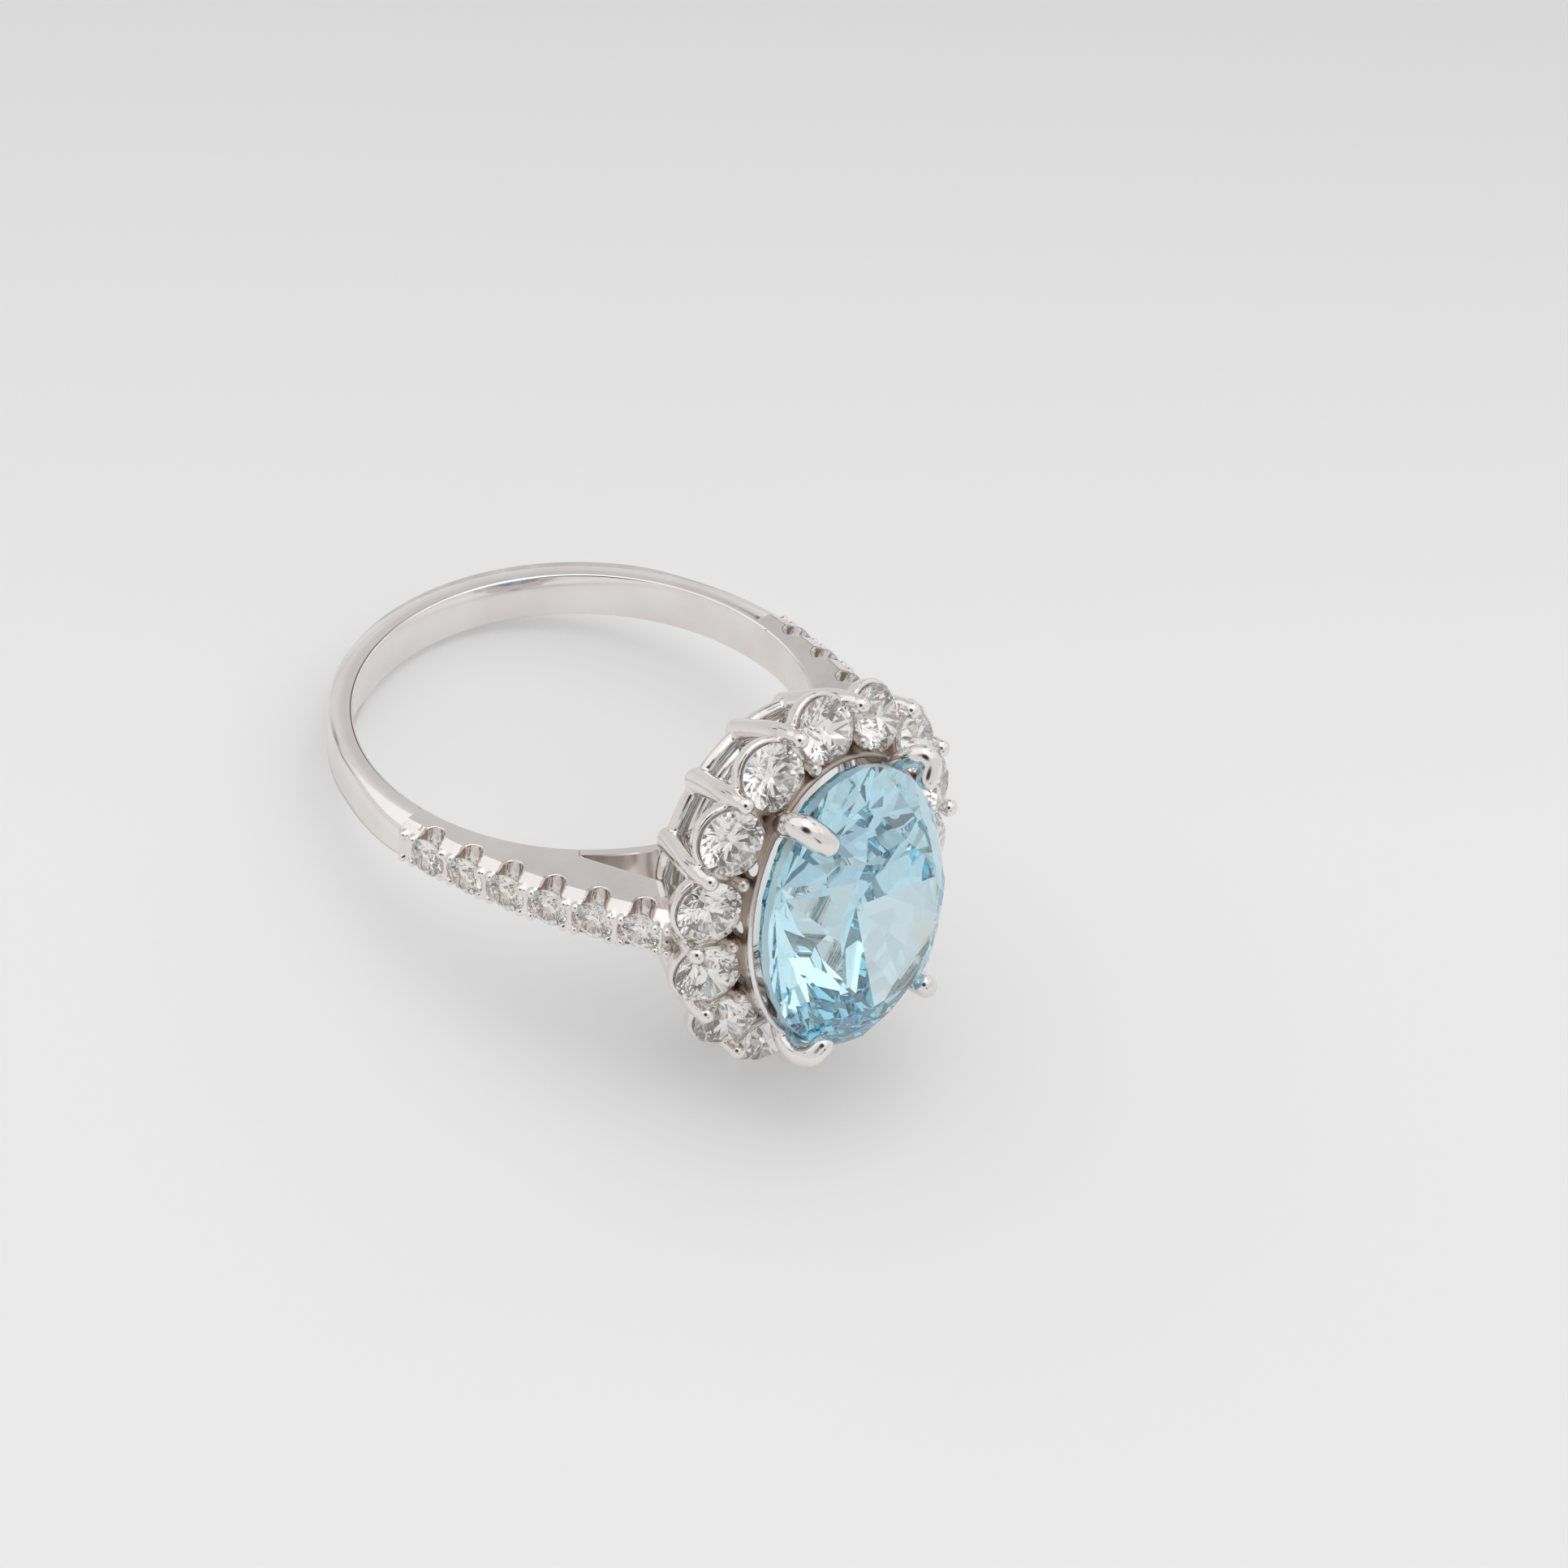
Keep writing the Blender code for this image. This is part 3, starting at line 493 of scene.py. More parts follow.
def outer_line(angle):
    """Outer line of the band at an angle from +Z on the right side, SPLIT or more."""
    if angle >= BULGE:
        return polar(BAND_OUTER, angle)
    top, out = crest(CREST_REACH * cos(SPLIT))
    start = polar(BAND_OUTER, BULGE)
    down = Vector((out.z, 0, -out.x))
    up = Vector((-cos(BULGE), 0, sin(BULGE)))
    reach = (top - start).length / 3
    t = (angle - SPLIT) / (BULGE - SPLIT)
    s = 1 - t
    return (top * s ** 3 + (top + down * reach) * 3 * s * s * t
            + (start + up * reach) * 3 * s * t * t + start * t ** 3)


def chamfer_share(angle):
    """How much of the shoulder's chamfer is left on the band at an angle."""
    t = min(max((angle - SPLIT) / CHAMFER_FADE, 0), 1)
    return 1 - t * t * (3 - 2 * t)


def shank_mesh():
    """Band from one shoulder round the back to the other, with its ends tucked under them."""
    sections = []
    count = 180
    first = SPLIT - SHANK_TUCK
    for i in range(count + 1):
        angle = first + (2 * pi - 2 * first) * i / count
        folded = min(angle, 2 * pi - angle)
        side = 1 if angle <= pi else -1
        if folded < SPLIT:
            height = CREST_REACH * cos(folded)
            outer, _ = crest(height)
            trim = TUCK_TRIM
        else:
            outer = outer_line(folded)
            trim = 0.0
        inner = polar(BORE, folded)
        share = chamfer_share(folded)
        points = bar_section(inner, outer,
                             BACK_CHAMFER + (CHAMFER_WIDTH - BACK_CHAMFER) * share,
                             BACK_CHAMFER + (CHAMFER_LOW - BACK_CHAMFER) * share, trim)
        sections.append([Vector((p.x * side, p.y, p.z)) for p in points])
    return lofted(sections)


def rail_mesh():
    """Finger rail under the head, with its ends tucked into the shoulders."""
    sections = []
    count = 60
    reach = WINDOW_TIP + RAIL_TUCK
    for i in range(count + 1):
        angle = -reach + 2 * reach * i / count
        trim = TUCK_TRIM if abs(angle) > WINDOW_TIP else 0.0
        sections.append(bar_section(polar(BORE, angle), polar(RAIL_OUTER, angle), RAIL_CHAMFER,
                                    RAIL_CHAMFER, trim, crown=0.0))
    mesh = lofted(sections)
    mesh.set_sharp_from_angle(angle=radians(15))
    return mesh


def shoulder_body(side):
    """Plain shoulder, lofted up the bore and then up the window's edge."""
    sections = []
    low = CREST_REACH * cos(SPLIT)
    tip = polar(RAIL_OUTER, WINDOW_TIP)
    corner = Vector((tip.x - UNDERSIDE_LEAN * (SHOULDER_TOP - tip.z), 0, SHOULDER_TOP))
    bore_count, top_count = 36, 24
    for i in range(bore_count + 1):
        t = i / bore_count
        inner = polar(BORE, SPLIT + (WINDOW_TIP - SPLIT) * t)
        sections.append((inner, low + (KNEE_HEIGHT - low) * t))
    knee = KNEE_HEIGHT + KNEE_STEP
    for i in range(top_count + 1):
        t = i / top_count
        sections.append((tip.lerp(corner, t), knee + (SHOULDER_TOP - knee) * t))
    rows = []
    for inner, height in sections:
        share = min(max(height / SHOULDER_TOP, 0), 1)
        depth = CHAMFER_LOW + (CHAMFER_TOP - CHAMFER_LOW) * share
        points = bar_section(inner, crest(height)[0], CHAMFER_WIDTH, depth, crown=0.0)
        rows.append([Vector((p.x * side, p.y, p.z)) for p in points])
    return lofted(rows)


def seat_frames(side):
    """Frames of the shoulder stones: origin on the crest, Z outwards, X along the finger."""
    frames = []
    height = SMALL_FIRST
    for _ in range(SHOULDER_STONES):
        point, out = crest(height)
        frames.append(axes_matrix(Vector((point.x * side, 0, point.z)),
                                  Vector((out.x * side, 0, out.z)), Vector((0, 1, 0))))
        height += SMALL_PITCH * out.x
    return frames


def u_cut(place, depth):
    """Cutter for a round-bottomed slot across the crest."""
    count = 24
    outline = [(U_RADIUS * cos(pi + pi * i / count), U_RADIUS * sin(pi + pi * i / count) - depth)
               for i in range(count + 1)]
    outline += [(U_RADIUS * U_FLARE, CUT_RISE), (-U_RADIUS * U_FLARE, CUT_RISE)]
    rows = [[Vector((x, y, z)) for y, z in outline] for x in (-CUT_REACH, CUT_REACH)]
    mesh = lofted(rows)
    mesh.transform(place)
    return mesh


def stone_sinks():
    """Depth of each shoulder stone below the crest."""
    return eased([SINK_LOW, SINK_TOP], SHOULDER_STONES)


def seat_cut(place, sink):
    """Cutter for the conical seat of a shoulder stone."""
    radius = SMALL_RADIUS + SEAT_GAP
    profile = ((0.03, -0.8), (radius, -0.02), (radius, 0.9), (0.03, 0.9))
    mesh = lofted([oval_path((r, r), z, count=40) for r, z in profile])
    mesh.transform(place @ Matrix.Translation((0, 0, -sink)))
    return mesh


def post_prongs(side):
    """Split prongs on the posts: two small domes on each edge of each post."""
    frames = seat_frames(side)
    step = frames[1].translation - frames[0].translation
    last = frames[-1].translation - frames[-2].translation
    places = [(frames[0].translation - step / 2, frames[0].to_3x3().col[2])]
    for a, b in zip(frames, frames[1:]):
        places.append(((a.translation + b.translation) / 2,
                       (a.to_3x3().col[2] + b.to_3x3().col[2]).normalized()))
    places.append((frames[-1].translation + last / 2, frames[-1].to_3x3().col[2]))
    meshes = []
    for middle, out in places:
        along = out.cross(Vector((0, 1, 0))).normalized()
        for edge in (-1, 1):
            for half in (-1, 1):
                root = middle + Vector((0, edge * POST_PRONG_OUT, 0))
                root += along * half * POST_PRONG_APART
                foot = root - out * 0.6
                tip = root - out * 0.04 - Vector((0, edge * 0.06, 0)) + along * half * 0.04
                meshes.append(tube([foot, (foot + tip) / 2, tip], POST_PRONG_RADII, segments=14))
    return meshes


def shoulder_mesh(side):
    """Shoulder with its U-cuts, stone seats and split prongs."""
    frames = seat_frames(side)
    depths = eased([U_LOW, U_TOP], SHOULDER_STONES)
    slots = joined([u_cut(place, depth) for place, depth in zip(frames, depths)])
    seats = joined([seat_cut(place, sink) for place, sink in zip(frames, stone_sinks())])
    body = carved(shoulder_body(side), [slots, seats])
    return fused([body, *post_prongs(side)], *SHOULDER_CAST)


# ---------------------------------------------------------------- head

def oval_table(half, steps=720):
    """Angles round an oval with the length run up to each, from its -X end."""
    table = [(0.0, 0.0)]
    last = Vector((-half[0], 0.0))
    for i in range(1, steps + 1):
        turn = 2 * pi * i / steps
        here = Vector((-half[0] * cos(turn), half[1] * sin(turn)))
        table.append((turn, table[-1][1] + (here - last).length))
        last = here
    return table


HALO_TABLE = oval_table(HALO_HALF)
FOOT_TABLE = oval_table(FOOT_HALF)
WALL_TABLE = oval_table(WALL_HALF)


def oval_turn(table, share):
    """Angle at a share of the oval's whole length."""
    goal = (share % 1.0) * table[-1][1]
    for (turn_a, length_a), (turn_b, length_b) in zip(table, table[1:]):
        if length_b >= goal:
            return turn_a + (turn_b - turn_a) * (goal - length_a) / (length_b - length_a)
    return 0.0


def oval_spot(half, table, share, height):
    """Point of an oval round the head at a share of its length, and the outward direction."""
    turn = oval_turn(table, share)
    point = Vector((-half[0] * cos(turn), half[1] * sin(turn) + HALO_SHIFT, height))
    return point, Vector((-cos(turn) * half[1], sin(turn) * half[0], 0)).normalized()


def halo_place(step):
    """Frame on the halo's girdle line, and the outward direction there."""
    place, out = oval_spot(HALO_HALF, HALO_TABLE, step / HALO_STONES, HALO_Z)
    along = Vector((0, 0, 1)).cross(out)
    normal = out * sin(HALO_LEAN) + Vector((0, 0, 1)) * cos(HALO_LEAN)
    return axes_matrix(place, normal, along), out


def cup(step):
    """Open cup round a halo stone."""
    place, _ = halo_place(step)
    mesh = turned(CUP_PROFILE)
    mesh.transform(place)
    return mesh


def outer_prong(step):
    """Prong outside the halo, from the foot rail to a bead between two stones. The two over the
    shoulders are short."""
    place, out = halo_place(step)
    up = Vector((0, 0, 1))
    bead = place.translation + out * OUTER_BEAD_OUT * cos(HALO_LEAN) + up * OUTER_BEAD_UP
    if step in SHOULDER_SLOTS:
        foot = bead - out * 0.35 - up * SHORT_PRONG_DROP
        knots = [foot, (foot + bead) / 2 + out * 0.06, bead]
        radii = SHORT_PRONG_RADII
    else:
        foot, _ = oval_spot(FOOT_HALF, FOOT_TABLE, step / HALO_STONES, FOOT_Z)
        belly = (foot * 0.45 + bead * 0.55) + out * 0.22
        neck = (foot * 0.15 + bead * 0.85) + out * 0.14
        knots = [foot, belly, neck, bead]
        radii = OUTER_PRONG_RADII
    path = smooth_path(knots, 8)
    return joined([tube(path, eased(radii, len(path))), ball(bead, OUTER_BEAD),
                   ball(foot, radii[0] * 1.02)])


def inner_prong(step):
    """Short prong on the halo's inner side."""
    place, out = halo_place(step)
    up = Vector((0, 0, 1))
    bead = place.translation - out * INNER_BEAD_IN * cos(HALO_LEAN) + up * INNER_BEAD_UP
    foot = bead - up * INNER_PRONG_DROP + out * 0.12
    path = smooth_path([foot, (foot + bead) / 2, bead], 6)
    return joined([tube(path, eased(INNER_PRONG_RADII, len(path))), ball(bead, INNER_BEAD)])


def halo_mesh():
    """Halo frame: foot rail, cups and prongs."""
    foot_rail = [p + Vector((0, HALO_SHIFT, 0)) for p in oval_path(FOOT_HALF, FOOT_Z + 0.1)]
    meshes = [tube(foot_rail, [FOOT_WIRE] * len(foot_rail), cyclic=True)]
    meshes += [cup(i + 0.5) for i in range(HALO_STONES)]
    meshes += [outer_prong(i) for i in range(HALO_STONES)]
    meshes += [inner_prong(i) for i in range(HALO_STONES) if i not in CLAW_SLOTS]
    return fused(meshes, *HALO_CAST)


def claw(side_x, side_y):
    """Claw that leans over the centre stone at one corner."""
    corner = (side_x, side_y)
    rise = CLAW_RISE if side_y < 0 else 0.0
    press = Vector(CLAW_PRESS.get(corner, (0, 0, 0)))
    knots = [Vector((x * side_x, y * side_y, z)) for x, y, z in CLAW_LOW]
    for (x, y, z), rise_share, press_share in zip(CLAW_HIGH, RISE_SHARES, PRESS_SHARES):
        knots.append(Vector((x * side_x + CENTRE_PLACE.x, y * side_y, z + rise * rise_share))
                     + press * press_share)
    path = smooth_path(knots, 8)
    girth = 1.0 if corner == STOUT_CLAW else SLIM_CLAW
    radii = [radius * girth for radius in CLAW_RADII]
    return tube(path, eased(radii, len(path)), segments=28)


def stone_frame():
    """Frame of the centre stone, which sits slightly crooked."""
    return Matrix.Translation(CENTRE_PLACE) @ Matrix.Rotation(CENTRE_TILT, 4, "X")


def gallery_wall():
    """Oval wall under the stone's rail, pierced by a row of small windows."""
    place = stone_frame()
    count = 120
    sections = []
    for i in range(count):
        c = cos(2 * pi * i / count)
        s = sin(2 * pi * i / count)
        sections.append([place @ Vector((4.68 * c, 5.83 * s, RAIL_DROP)),
                         Vector((4.82 * c, 5.8 * s + HALO_SHIFT, WALL_FOOT_Z)),
                         Vector((4.6 * c, 5.58 * s + HALO_SHIFT, WALL_FOOT_Z)),
                         place @ Vector((4.46 * c, 5.61 * s, RAIL_DROP - 0.06))])
    wall = lofted(sections, cyclic=True)
    windows = []
    for i in range(HALO_STONES):
        middle, out = oval_spot(WALL_HALF, WALL_TABLE, (i + 0.25) / HALO_STONES, WALL_WINDOW_Z)
        windows.append(tube([middle - out * 0.6, middle + out * 0.6], [WALL_WINDOW] * 2))
    return carved(wall, [joined(windows)])


def basket_mesh():
    """Basket of the centre stone: gallery rail, seat rail, thin rail, wall and claws."""
    gallery = oval_path(GALLERY_HALF, GALLERY_Z)
    seat = oval_path(SEAT_HALF, SEAT_Z)
    meshes = [tube(gallery, [GALLERY_WIRE] * len(gallery), cyclic=True),
              tube(seat, [SEAT_WIRE] * len(seat), cyclic=True)]
    rail = [stone_frame() @ Vector((p.x, p.y, RAIL_DROP)) for p in oval_path(RAIL_HALF, 0)]
    meshes += [tube(rail, [RAIL_WIRE] * len(rail), cyclic=True), gallery_wall()]
    meshes += [claw(x, y) for x in (-1, 1) for y in (-1, 1)]
    return fused(meshes, *BASKET_CAST)


# ---------------------------------------------------------------- stones

def slice_off(shape, point, normal):
    """Cuts one facet: all beyond the plane goes, and the cut is closed."""
    parts = shape.verts[:] + shape.edges[:] + shape.faces[:]
    done = bmesh.ops.bisect_plane(
        shape, geom=parts, dist=1e-6, plane_co=point, plane_no=normal, clear_outer=True)
    rim = [part for part in done["geom_cut"] if isinstance(part, bmesh.types.BMEdge)]
    if rim:
        bmesh.ops.contextual_create(shape, geom=rim)


def ring_of_cuts(shape, count, offset, slope, reach, base):
    """Facets all round at one slope, below 0 if they face down, that pass the base at reach."""
    for i in range(count):
        turn = 2 * pi * (i + offset) / count
        outward = Vector((cos(turn), sin(turn), 0.0))
        normal = outward * abs(slope) + Vector((0.0, 0.0, 1.0 if slope > 0 else -1.0))
        slice_off(shape, outward * reach + Vector((0.0, 0.0, base)), normal.normalized())


def brilliant(half_x, half_y, girdle, crown, pavilion, sides, table=0.57, turn=0.0, step=0.0):
    """Brilliant cut with its girdle's upper edge at z = 0. A face attribute marks the frosted
    girdle, and another numbers the facets for their painted fire, a tint that differs from facet
    to facet. A step is a steep tier of small facets between girdle and pavilion."""
    size = (half_x + half_y) / 2
    rise = crown / size
    fall = pavilion / size
    band = girdle / size
    shape = bmesh.new()
    bmesh.ops.create_cone(
        shape, cap_ends=True, segments=sides, radius1=1.0, radius2=1.0, depth=rise + band + fall)
    bmesh.ops.translate(shape, verts=shape.verts, vec=(0, 0, (rise - band - fall) / 2))
    main_slope = rise / (1 - table)
    ring_of_cuts(shape, 8, turn, main_slope, 1.0, 0.0)
    ring_of_cuts(shape, 16, 0.5, main_slope * UPPER_GIRDLE_SLOPE, cos(pi / 16), 0.0)
    ring_of_cuts(shape, 8, turn + 0.5, main_slope * STAR_SLOPE, table * cos(pi / 8), rise)
    slice_off(shape, Vector((0, 0, rise)), Vector((0, 0, 1)))
    tier = step / size
    if step:
        ring_of_cuts(shape, 32, 0.5, -STEP_SLOPE, cos(pi / 32), -band)
    edge = 1.0 - tier / STEP_SLOPE
    steep = (fall - tier) / edge
    ring_of_cuts(shape, 8, turn, -steep, edge, -band - tier)
    ring_of_cuts(shape, 16, 0.5, -steep * LOWER_GIRDLE_SLOPE, edge * cos(pi / 16), -band - tier)
    bmesh.ops.remove_doubles(shape, verts=shape.verts, dist=2e-4)
    bmesh.ops.scale(shape, verts=shape.verts, vec=(half_x, half_y, size))
    bmesh.ops.recalc_face_normals(shape, faces=shape.faces)
    shape.normal_update()
    frost = shape.faces.layers.float.new("frost")
    # Painted fire: each facet gets a number that picks its tint in the stone's material
    tint = shape.faces.layers.float.new("facet")
    for face in shape.faces:
        face[frost] = 1.0 if abs(face.normal.z) < 0.05 else 0.0
        centre = face.calc_center_median()
        face[tint] = (sin(atan2(centre.y, centre.x) * 7 + centre.z * 5) + 1) / 2
    return mesh_of(shape)


# ---------------------------------------------------------------- materials

def new_material(name):
    """A new material with its node tree and shader."""
    material = bpy.data.materials.new(name)
    material.use_nodes = True
    tree = material.node_tree
    return material, tree, tree.nodes["Principled BSDF"]


def link(tree, a, b):
    tree.links.new(a, b)


def noise_node(tree, coords, scale, detail, seed):
    """Noise that is shifted by its seed, so that no two pieces share a pattern."""
    shift = tree.nodes.new("ShaderNodeMapping")
    shift.inputs["Location"].default_value = (seed * 0.013, seed * 0.007, seed * 0.003)
    link(tree, coords, shift.inputs["Vector"])
    noise = tree.nodes.new("ShaderNodeTexNoise")
    noise.inputs["Scale"].default_value = scale
    noise.inputs["Detail"].default_value = detail
    link(tree, shift.outputs["Vector"], noise.inputs["Vector"])
    return noise


def ramp_node(tree, factor, stops):
    """Colour ramp through (position, colour) stops."""
    ramp = tree.nodes.new("ShaderNodeValToRGB")
    while len(ramp.color_ramp.elements) < len(stops):
        ramp.color_ramp.elements.new(0.5)
    for element, (at, colour) in zip(ramp.color_ramp.elements, stops):
        element.position = at
        element.color = (*colour, 1)
    link(tree, factor, ramp.inputs["Fac"])
    return ramp


def range_node(tree, value, low, high):
    """Value from 0 to 1 spread from low to high."""
    node = tree.nodes.new("ShaderNodeMapRange")
    node.inputs["To Min"].default_value = low
    node.inputs["To Max"].default_value = high
    link(tree, value, node.inputs["Value"])
    return node


def white_metal(name, seed):
    """Rhodium-bright metal: slightly uneven polish, faint warm clouding, fine wear marks. Recesses
    (face attribute "recess"), which a polishing wheel doesn't reach, are rougher; they also get
    painted shade, a darker and browner colour."""
    material, tree, shader = new_material(name)
    shader.inputs["Metallic"].default_value = 1.0
    coords = tree.nodes.new("ShaderNodeTexCoord").outputs["Object"]
    clouds = noise_node(tree, coords, CLOUD_SCALE, 3, seed)
    tint = ramp_node(tree, clouds.outputs["Fac"], [(0.35, METAL_DARK), (0.65, METAL_LIGHT)])
    recess = tree.nodes.new("ShaderNodeAttribute")
    recess.attribute_name = "recess"
    # Painted shade: recesses are mixed towards a darker, browner tone
    painted_shade = tree.nodes.new("ShaderNodeMix")
    painted_shade.data_type = "RGBA"
    painted_shade.inputs["B"].default_value = (*RECESS_SHADE_TONE, 1)
    link(tree, recess.outputs["Fac"], painted_shade.inputs["Factor"])
    link(tree, tint.outputs["Color"], painted_shade.inputs["A"])
    link(tree, painted_shade.outputs["Result"], shader.inputs["Base Color"])
    polish = noise_node(tree, coords, POLISH_SCALE, 5, seed + 5)
    gloss = range_node(tree, polish.outputs["Fac"], *METAL_ROUGH)
    rougher = tree.nodes.new("ShaderNodeMath")
    rougher.operation = "MULTIPLY_ADD"
    rougher.inputs[1].default_value = RECESS_ROUGH
    link(tree, recess.outputs["Fac"], rougher.inputs[0])
    link(tree, gloss.outputs["Result"], rougher.inputs[2])
    link(tree, rougher.outputs["Value"], shader.inputs["Roughness"])
    wear = noise_node(tree, coords, WEAR_SCALE, 3, seed + 9)
    bump = tree.nodes.new("ShaderNodeBump")
    bump.inputs["Strength"].default_value = WEAR_STRENGTH
    bump.inputs["Distance"].default_value = WEAR_DEPTH
    link(tree, wear.outputs["Fac"], bump.inputs["Height"])
    link(tree, bump.outputs["Normal"], shader.inputs["Normal"])
    return material


def mark_recess(mesh, depth):
    """Stores how deep in a recess each face lies, from 0 to 1, which sets its painted shade and
    its roughness.
    """
    marks = mesh.attributes.new("recess", "FLOAT", "FACE")
    for face, mark in zip(mesh.polygons, marks.data):
        mark.value = min(max(depth(face.center), 0.0), 1.0)
    return mesh


def shoulder_recess(side):
    """The U-cuts, the seats under the shoulder stones and the face towards the window."""
    tip = polar(RAIL_OUTER, WINDOW_TIP)
    places = [place.inverted() for place in seat_frames(side)]
    depths = eased([U_LOW, U_TOP], SHOULDER_STONES)

    def depth(point):
        for place, cut in zip(places, depths):
            local = place @ point
            if abs(local.y) < U_RADIUS * 1.3 and -cut - 0.03 < local.z < 0.05:
                return CUT_RECESS
        window = tip.x - UNDERSIDE_LEAN * (point.z - tip.z)
        on_window = point.z > tip.z and abs(point.x * side - window) < 0.03
        return SLIGHT_RECESS if on_window else 0.0

    return depth


def rail_recess(point):
    """The rail's outer face, towards the windows and the basket."""
    return SLIGHT_RECESS if hypot(point.x, point.z) > RAIL_OUTER - 0.02 else 0.0


def halo_recess(point):
    """The halo's inner side, below its stones."""
    inward = 1.0 - hypot(point.x / HALO_HALF[0], (point.y - HALO_SHIFT) / HALO_HALF[1])
    return inward * 9.0 if 11.0 < point.z < 13.1 else 0.0


def basket_recess(point):
    """The basket below the rail under the stone."""
    return min((13.5 - point.z) * 3.0, (point.z - 10.6) * 0.8)


def gem(name, seed, tones, haze=0.0, body=None):
    """Faceted stone: colour zoning, painted fire in tints that differ from facet to facet, a
    frosted girdle. Haze is the facets' own roughness, and body the colour and density of a
    coloured stone."""
    material, tree, shader = new_material(name)
    shader.inputs["Transmission Weight"].default_value = 1.0
    shader.inputs["IOR"].default_value = STONE_IOR
    coords = tree.nodes.new("ShaderNodeTexCoord").outputs["Object"]
    zones = noise_node(tree, coords, ZONE_SCALE, 2, seed)
    # Painted fire: the facet number, mixed with the zoning noise, picks each facet's tint
    facet = tree.nodes.new("ShaderNodeAttribute")
    facet.attribute_name = "facet"
    both = tree.nodes.new("ShaderNodeMath")
    both.operation = "MULTIPLY_ADD"
    both.inputs[1].default_value = FACET_FIRE_SHARE
    link(tree, facet.outputs["Fac"], both.inputs[0])
    rest = range_node(tree, zones.outputs["Fac"], 0.0, 1.0 - FACET_FIRE_SHARE)
    link(tree, rest.outputs["Result"], both.inputs[2])
    tint = ramp_node(tree, both.outputs["Value"], tones)
    link(tree, tint.outputs["Color"], shader.inputs["Base Color"])
    frost = tree.nodes.new("ShaderNodeAttribute")
    frost.attribute_name = "frost"
    gloss = range_node(tree, frost.outputs["Fac"], haze, GIRDLE_ROUGH)
    link(tree, gloss.outputs["Result"], shader.inputs["Roughness"])
    clear = range_node(tree, frost.outputs["Fac"], 1.0, 0.8)
    link(tree, clear.outputs["Result"], shader.inputs["Transmission Weight"])
    if body:
        colour, density = body
        volume = tree.nodes.new("ShaderNodeVolumeAbsorption")
        volume.inputs["Color"].default_value = (*colour, 1)
        volume.inputs["Density"].default_value = density
        link(tree, volume.outputs["Volume"], tree.nodes["Material Output"].inputs["Volume"])
    return material


# ---------------------------------------------------------------- pieces

def add_metal(name, mesh, seed, weighted=False):
    add_piece(name, mesh, white_metal(name + "_metal", seed), weighted=weighted)


def add_clear_stone(name, mesh, place, seed):
    mesh.transform(place)
    add_piece(name, mesh, gem(name + "_clear", seed, CLEAR_TONES, haze=SMALL_STONE_HAZE),
              smooth=False)


def build_metal():
    """Band, finger rail, shoulders, halo frame and basket."""
    add_metal("shank", shank_mesh(), 1, weighted=True)
    add_metal("finger_rail", mark_recess(rail_mesh(), rail_recess), 2)
    for label, side in (("left", -1), ("right", 1)):
        shoulder = mark_recess(shoulder_mesh(side), shoulder_recess(side))
        add_metal(f"shoulder_{label}", shoulder, 3 + side)
    add_metal("halo_frame", mark_recess(halo_mesh(), halo_recess), 7)
    add_metal("centre_basket", mark_recess(basket_mesh(), basket_recess), 8)


def build_stones():
    """Centre stone, halo stones and shoulder stones."""
    centre = brilliant(*CENTRE_CUT, table=CENTRE_TABLE, turn=0.5, step=CENTRE_STEP)
    centre.transform(stone_frame())
    add_piece("centre_stone", centre, gem("centre_aqua", 11, AQUA_TONES, body=AQUA_BODY),
              smooth=False)
    for index in range(HALO_STONES):
        place, _ = halo_place(index + 0.5)
        add_clear_stone(f"halo_stone_{index + 1:02d}", brilliant(*HALO_CUT), place, 20 + index)
    for label, side in (("left", -1), ("right", 1)):
        for index, (place, sink) in enumerate(zip(seat_frames(side), stone_sinks())):
            seat = place @ Matrix.Translation((0, 0, SMALL_GIRDLE - sink))
            add_clear_stone(f"shoulder_stone_{label}_{index + 1}", brilliant(*SMALL_CUT), seat,
                            40 + index * side)


# ---------------------------------------------------------------- camera, floor and light

def make_camera():
    """Camera at the ring's viewing angle. Returns its back and up directions."""
    camera = bpy.data.objects.new("camera", bpy.data.cameras.new("camera"))
    SCENE.collection.objects.link(camera)
    right = TURN @ CAMERA_RIGHT
    up = TURN @ CAMERA_UP
    back = right.cross(up)
    camera.matrix_world = (Matrix.Translation(PLACE @ CAMERA_PLACE)
                           @ Matrix((right, up, back)).transposed().to_4x4())
    camera.data.lens = CAMERA_ZOOM * SENSOR_WIDTH
    camera.data.sensor_width = SENSOR_WIDTH
    camera.data.clip_start = 0.01
    SCENE.camera = camera
    return back, up


def along_node(tree, coords, direction):
    """Reach of the coordinates along a direction."""
    dot = tree.nodes.new("ShaderNodeVectorMath")
    dot.operation = "DOT_PRODUCT"
    dot.inputs[1].default_value = Vector(direction).normalized()
    link(tree, coords, dot.inputs[0])
    return dot.outputs["Value"]


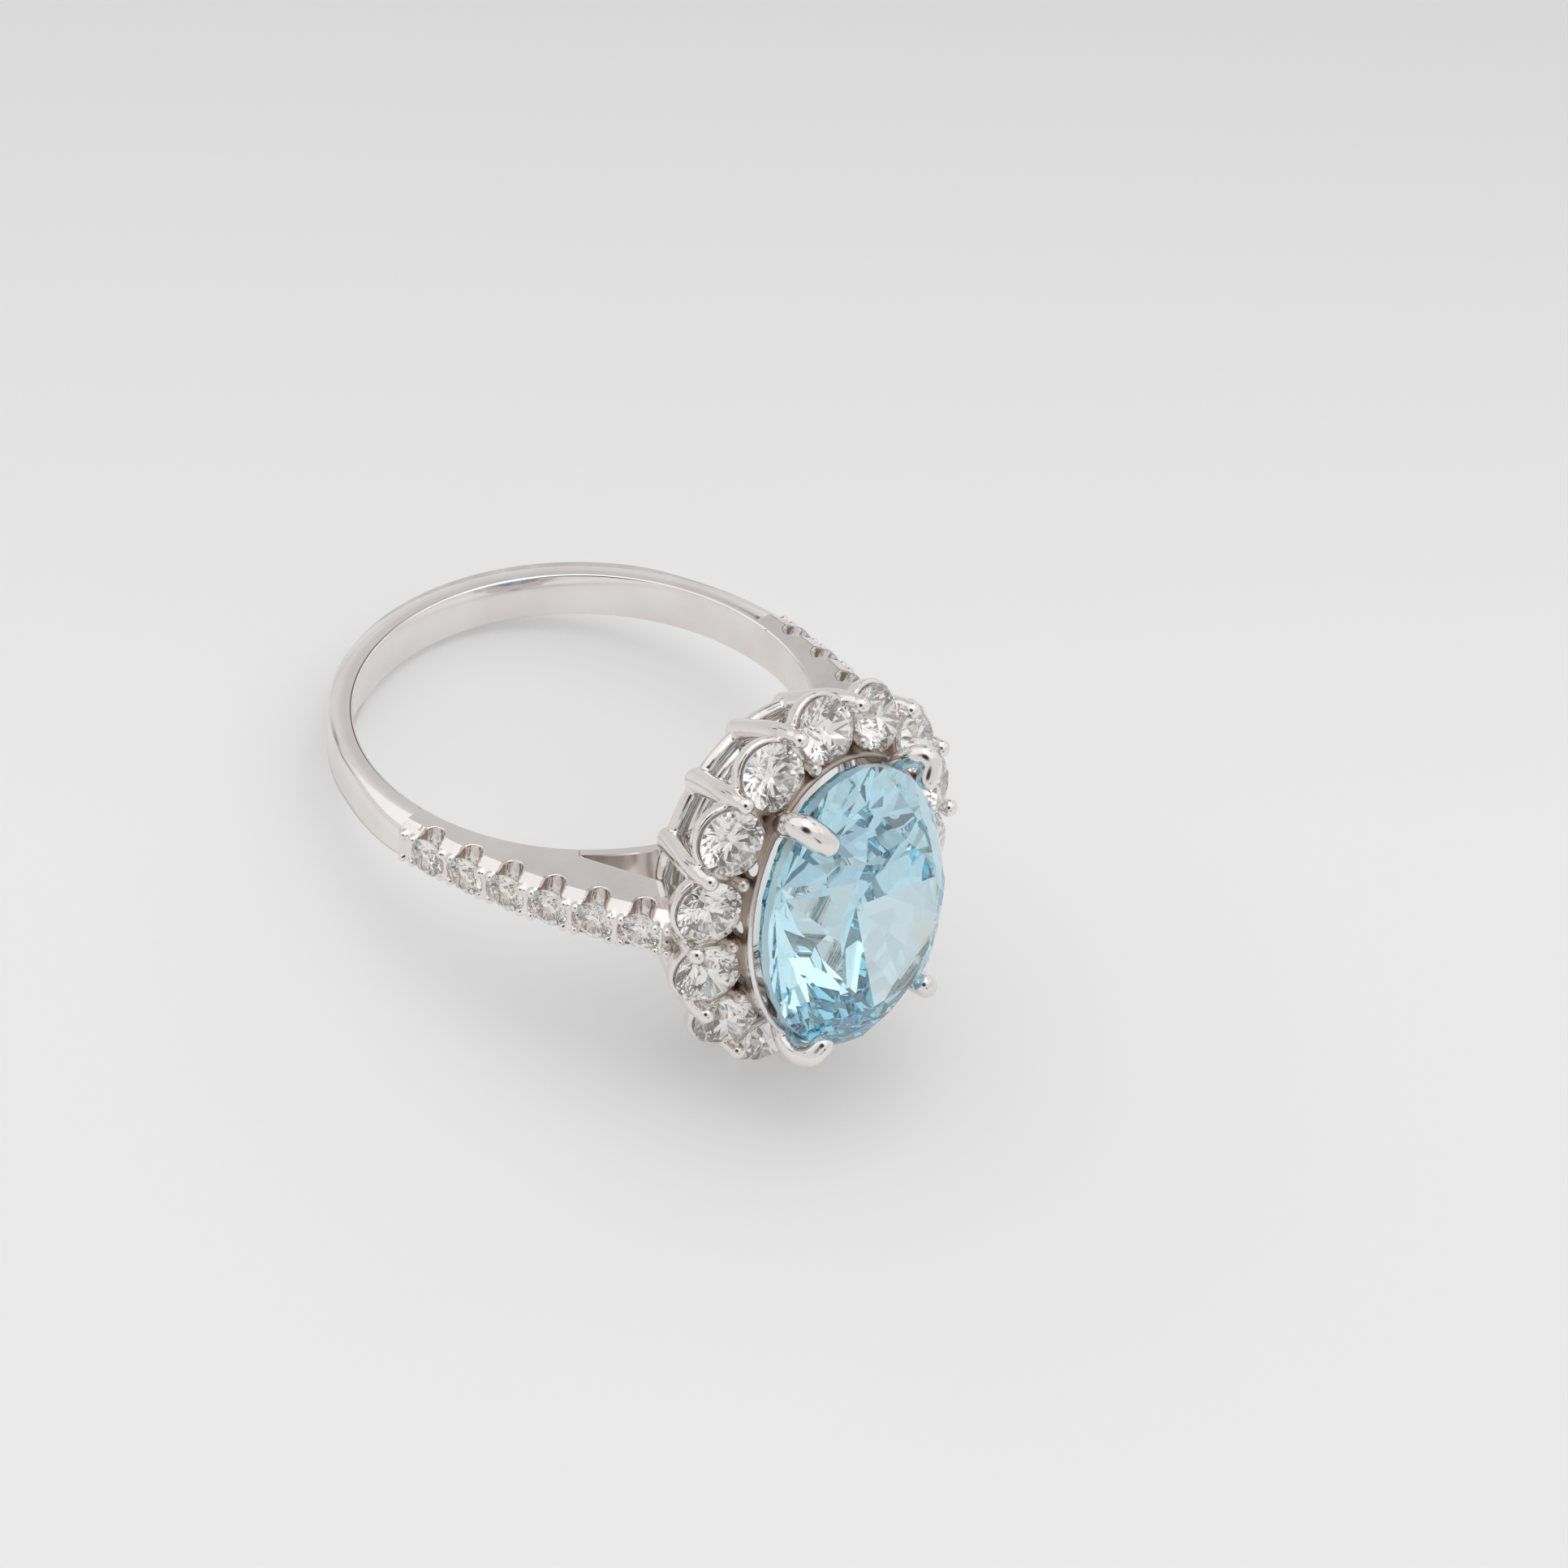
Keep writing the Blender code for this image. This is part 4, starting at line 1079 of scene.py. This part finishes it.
def make_floor(up):
    """White paper with painted light: it darkens slightly towards the back as a painted fall-off,
    and it glows with its own colour, which lifts its shadows.
    """
    shape = bmesh.new()
    bmesh.ops.create_grid(shape, x_segments=24, y_segments=24, size=FLOOR_REACH)
    floor = bpy.data.objects.new("floor", new_mesh(shape))
    SCENE.collection.objects.link(floor)
    material, tree, shader = new_material("paper")
    shader.inputs["Roughness"].default_value = 0.9
    shader.inputs["Specular IOR Level"].default_value = 0.1
    coords = tree.nodes.new("ShaderNodeTexCoord").outputs["Object"]
    # Painted fall-off of the light: the colour darkens towards the back
    run = tree.nodes.new("ShaderNodeMapRange")
    run.inputs["From Min"].default_value = FLOOR_BLEND[0]
    run.inputs["From Max"].default_value = FLOOR_BLEND[1]
    link(tree, along_node(tree, coords, (up.x, up.y, 0)), run.inputs["Value"])
    tint = ramp_node(tree, run.outputs["Result"], FLOOR_TONES)
    link(tree, tint.outputs["Color"], shader.inputs["Base Color"])
    # Painted light: the paper glows with its own colour
    link(tree, tint.outputs["Color"], shader.inputs["Emission Color"])
    shader.inputs["Emission Strength"].default_value = FLOOR_GLOW
    floor.data.materials.append(material)


def direction_patch(tree, coords, towards, inner, outer, low, high):
    """Value that rises from low at outer degrees to high at inner degrees from a direction."""
    patch = tree.nodes.new("ShaderNodeMapRange")
    patch.interpolation_type = "SMOOTHSTEP"
    patch.inputs["From Min"].default_value = cos(radians(outer))
    patch.inputs["From Max"].default_value = cos(radians(inner))
    patch.inputs["To Min"].default_value = low
    patch.inputs["To Max"].default_value = high
    link(tree, along_node(tree, coords, towards), patch.inputs["Value"])
    return patch.outputs["Result"]


def math_node(tree, operation, a, b):
    """Result of a sum or product of sockets or numbers."""
    node = tree.nodes.new("ShaderNodeMath")
    node.operation = operation
    for socket, value in zip(node.inputs, (a, b)):
        if isinstance(value, float):
            socket.default_value = value
        else:
            link(tree, value, socket)
    return node.outputs["Value"]


def make_world(back):
    """Light tent: pale all round with brighter panels, the dark gap that the lens looks through,
    a dimmer patch and a few soft dark folds."""
    world = bpy.data.worlds.new("tent")
    SCENE.world = world
    world.use_nodes = True
    tree = world.node_tree
    coords = tree.nodes.new("ShaderNodeTexCoord").outputs["Generated"]
    level = TENT_BASE
    for towards, inner, outer, glow in TENT_PANELS:
        panel = direction_patch(tree, coords, towards, inner, outer, 0.0, glow)
        level = math_node(tree, "ADD", panel, level)
    noise = tree.nodes.new("ShaderNodeTexNoise")
    noise.inputs["Scale"].default_value = 2.3
    noise.inputs["Detail"].default_value = 1.0
    link(tree, coords, noise.inputs["Vector"])
    folds = ramp_node(tree, noise.outputs["Fac"], TENT_FOLDS)
    level = math_node(tree, "MULTIPLY", level, folds.outputs["Color"])
    for towards, inner, outer, shade in ((back, *LENS_GAP), DIM_PATCH):
        patch = direction_patch(tree, coords, towards, inner, outer, 1.0, shade)
        level = math_node(tree, "MULTIPLY", level, patch)
    tint = ramp_node(tree, level, TENT_TONES)
    link(tree, tint.outputs["Color"], tree.nodes["Background"].inputs["Color"])


def make_key_light():
    """Soft light above the ring, turned to it."""
    light = bpy.data.objects.new("key", bpy.data.lights.new("key", "AREA"))
    SCENE.collection.objects.link(light)
    light.data.size = KEY_SIZE
    light.data.energy = KEY_POWER
    light.location = KEY_PLACE
    light.rotation_euler = (-light.location).to_track_quat("-Z", "Y").to_euler()


build_metal()
build_stones()
BACK, UP = make_camera()
make_floor(UP)
make_world(BACK)
make_key_light()
SCENE.view_settings.view_transform = "Standard"
SCENE.cycles.max_bounces = RAY_BOUNCES
SCENE.cycles.glossy_bounces = RAY_BOUNCES
SCENE.cycles.transmission_bounces = RAY_BOUNCES

bpy.context.view_layer.update()
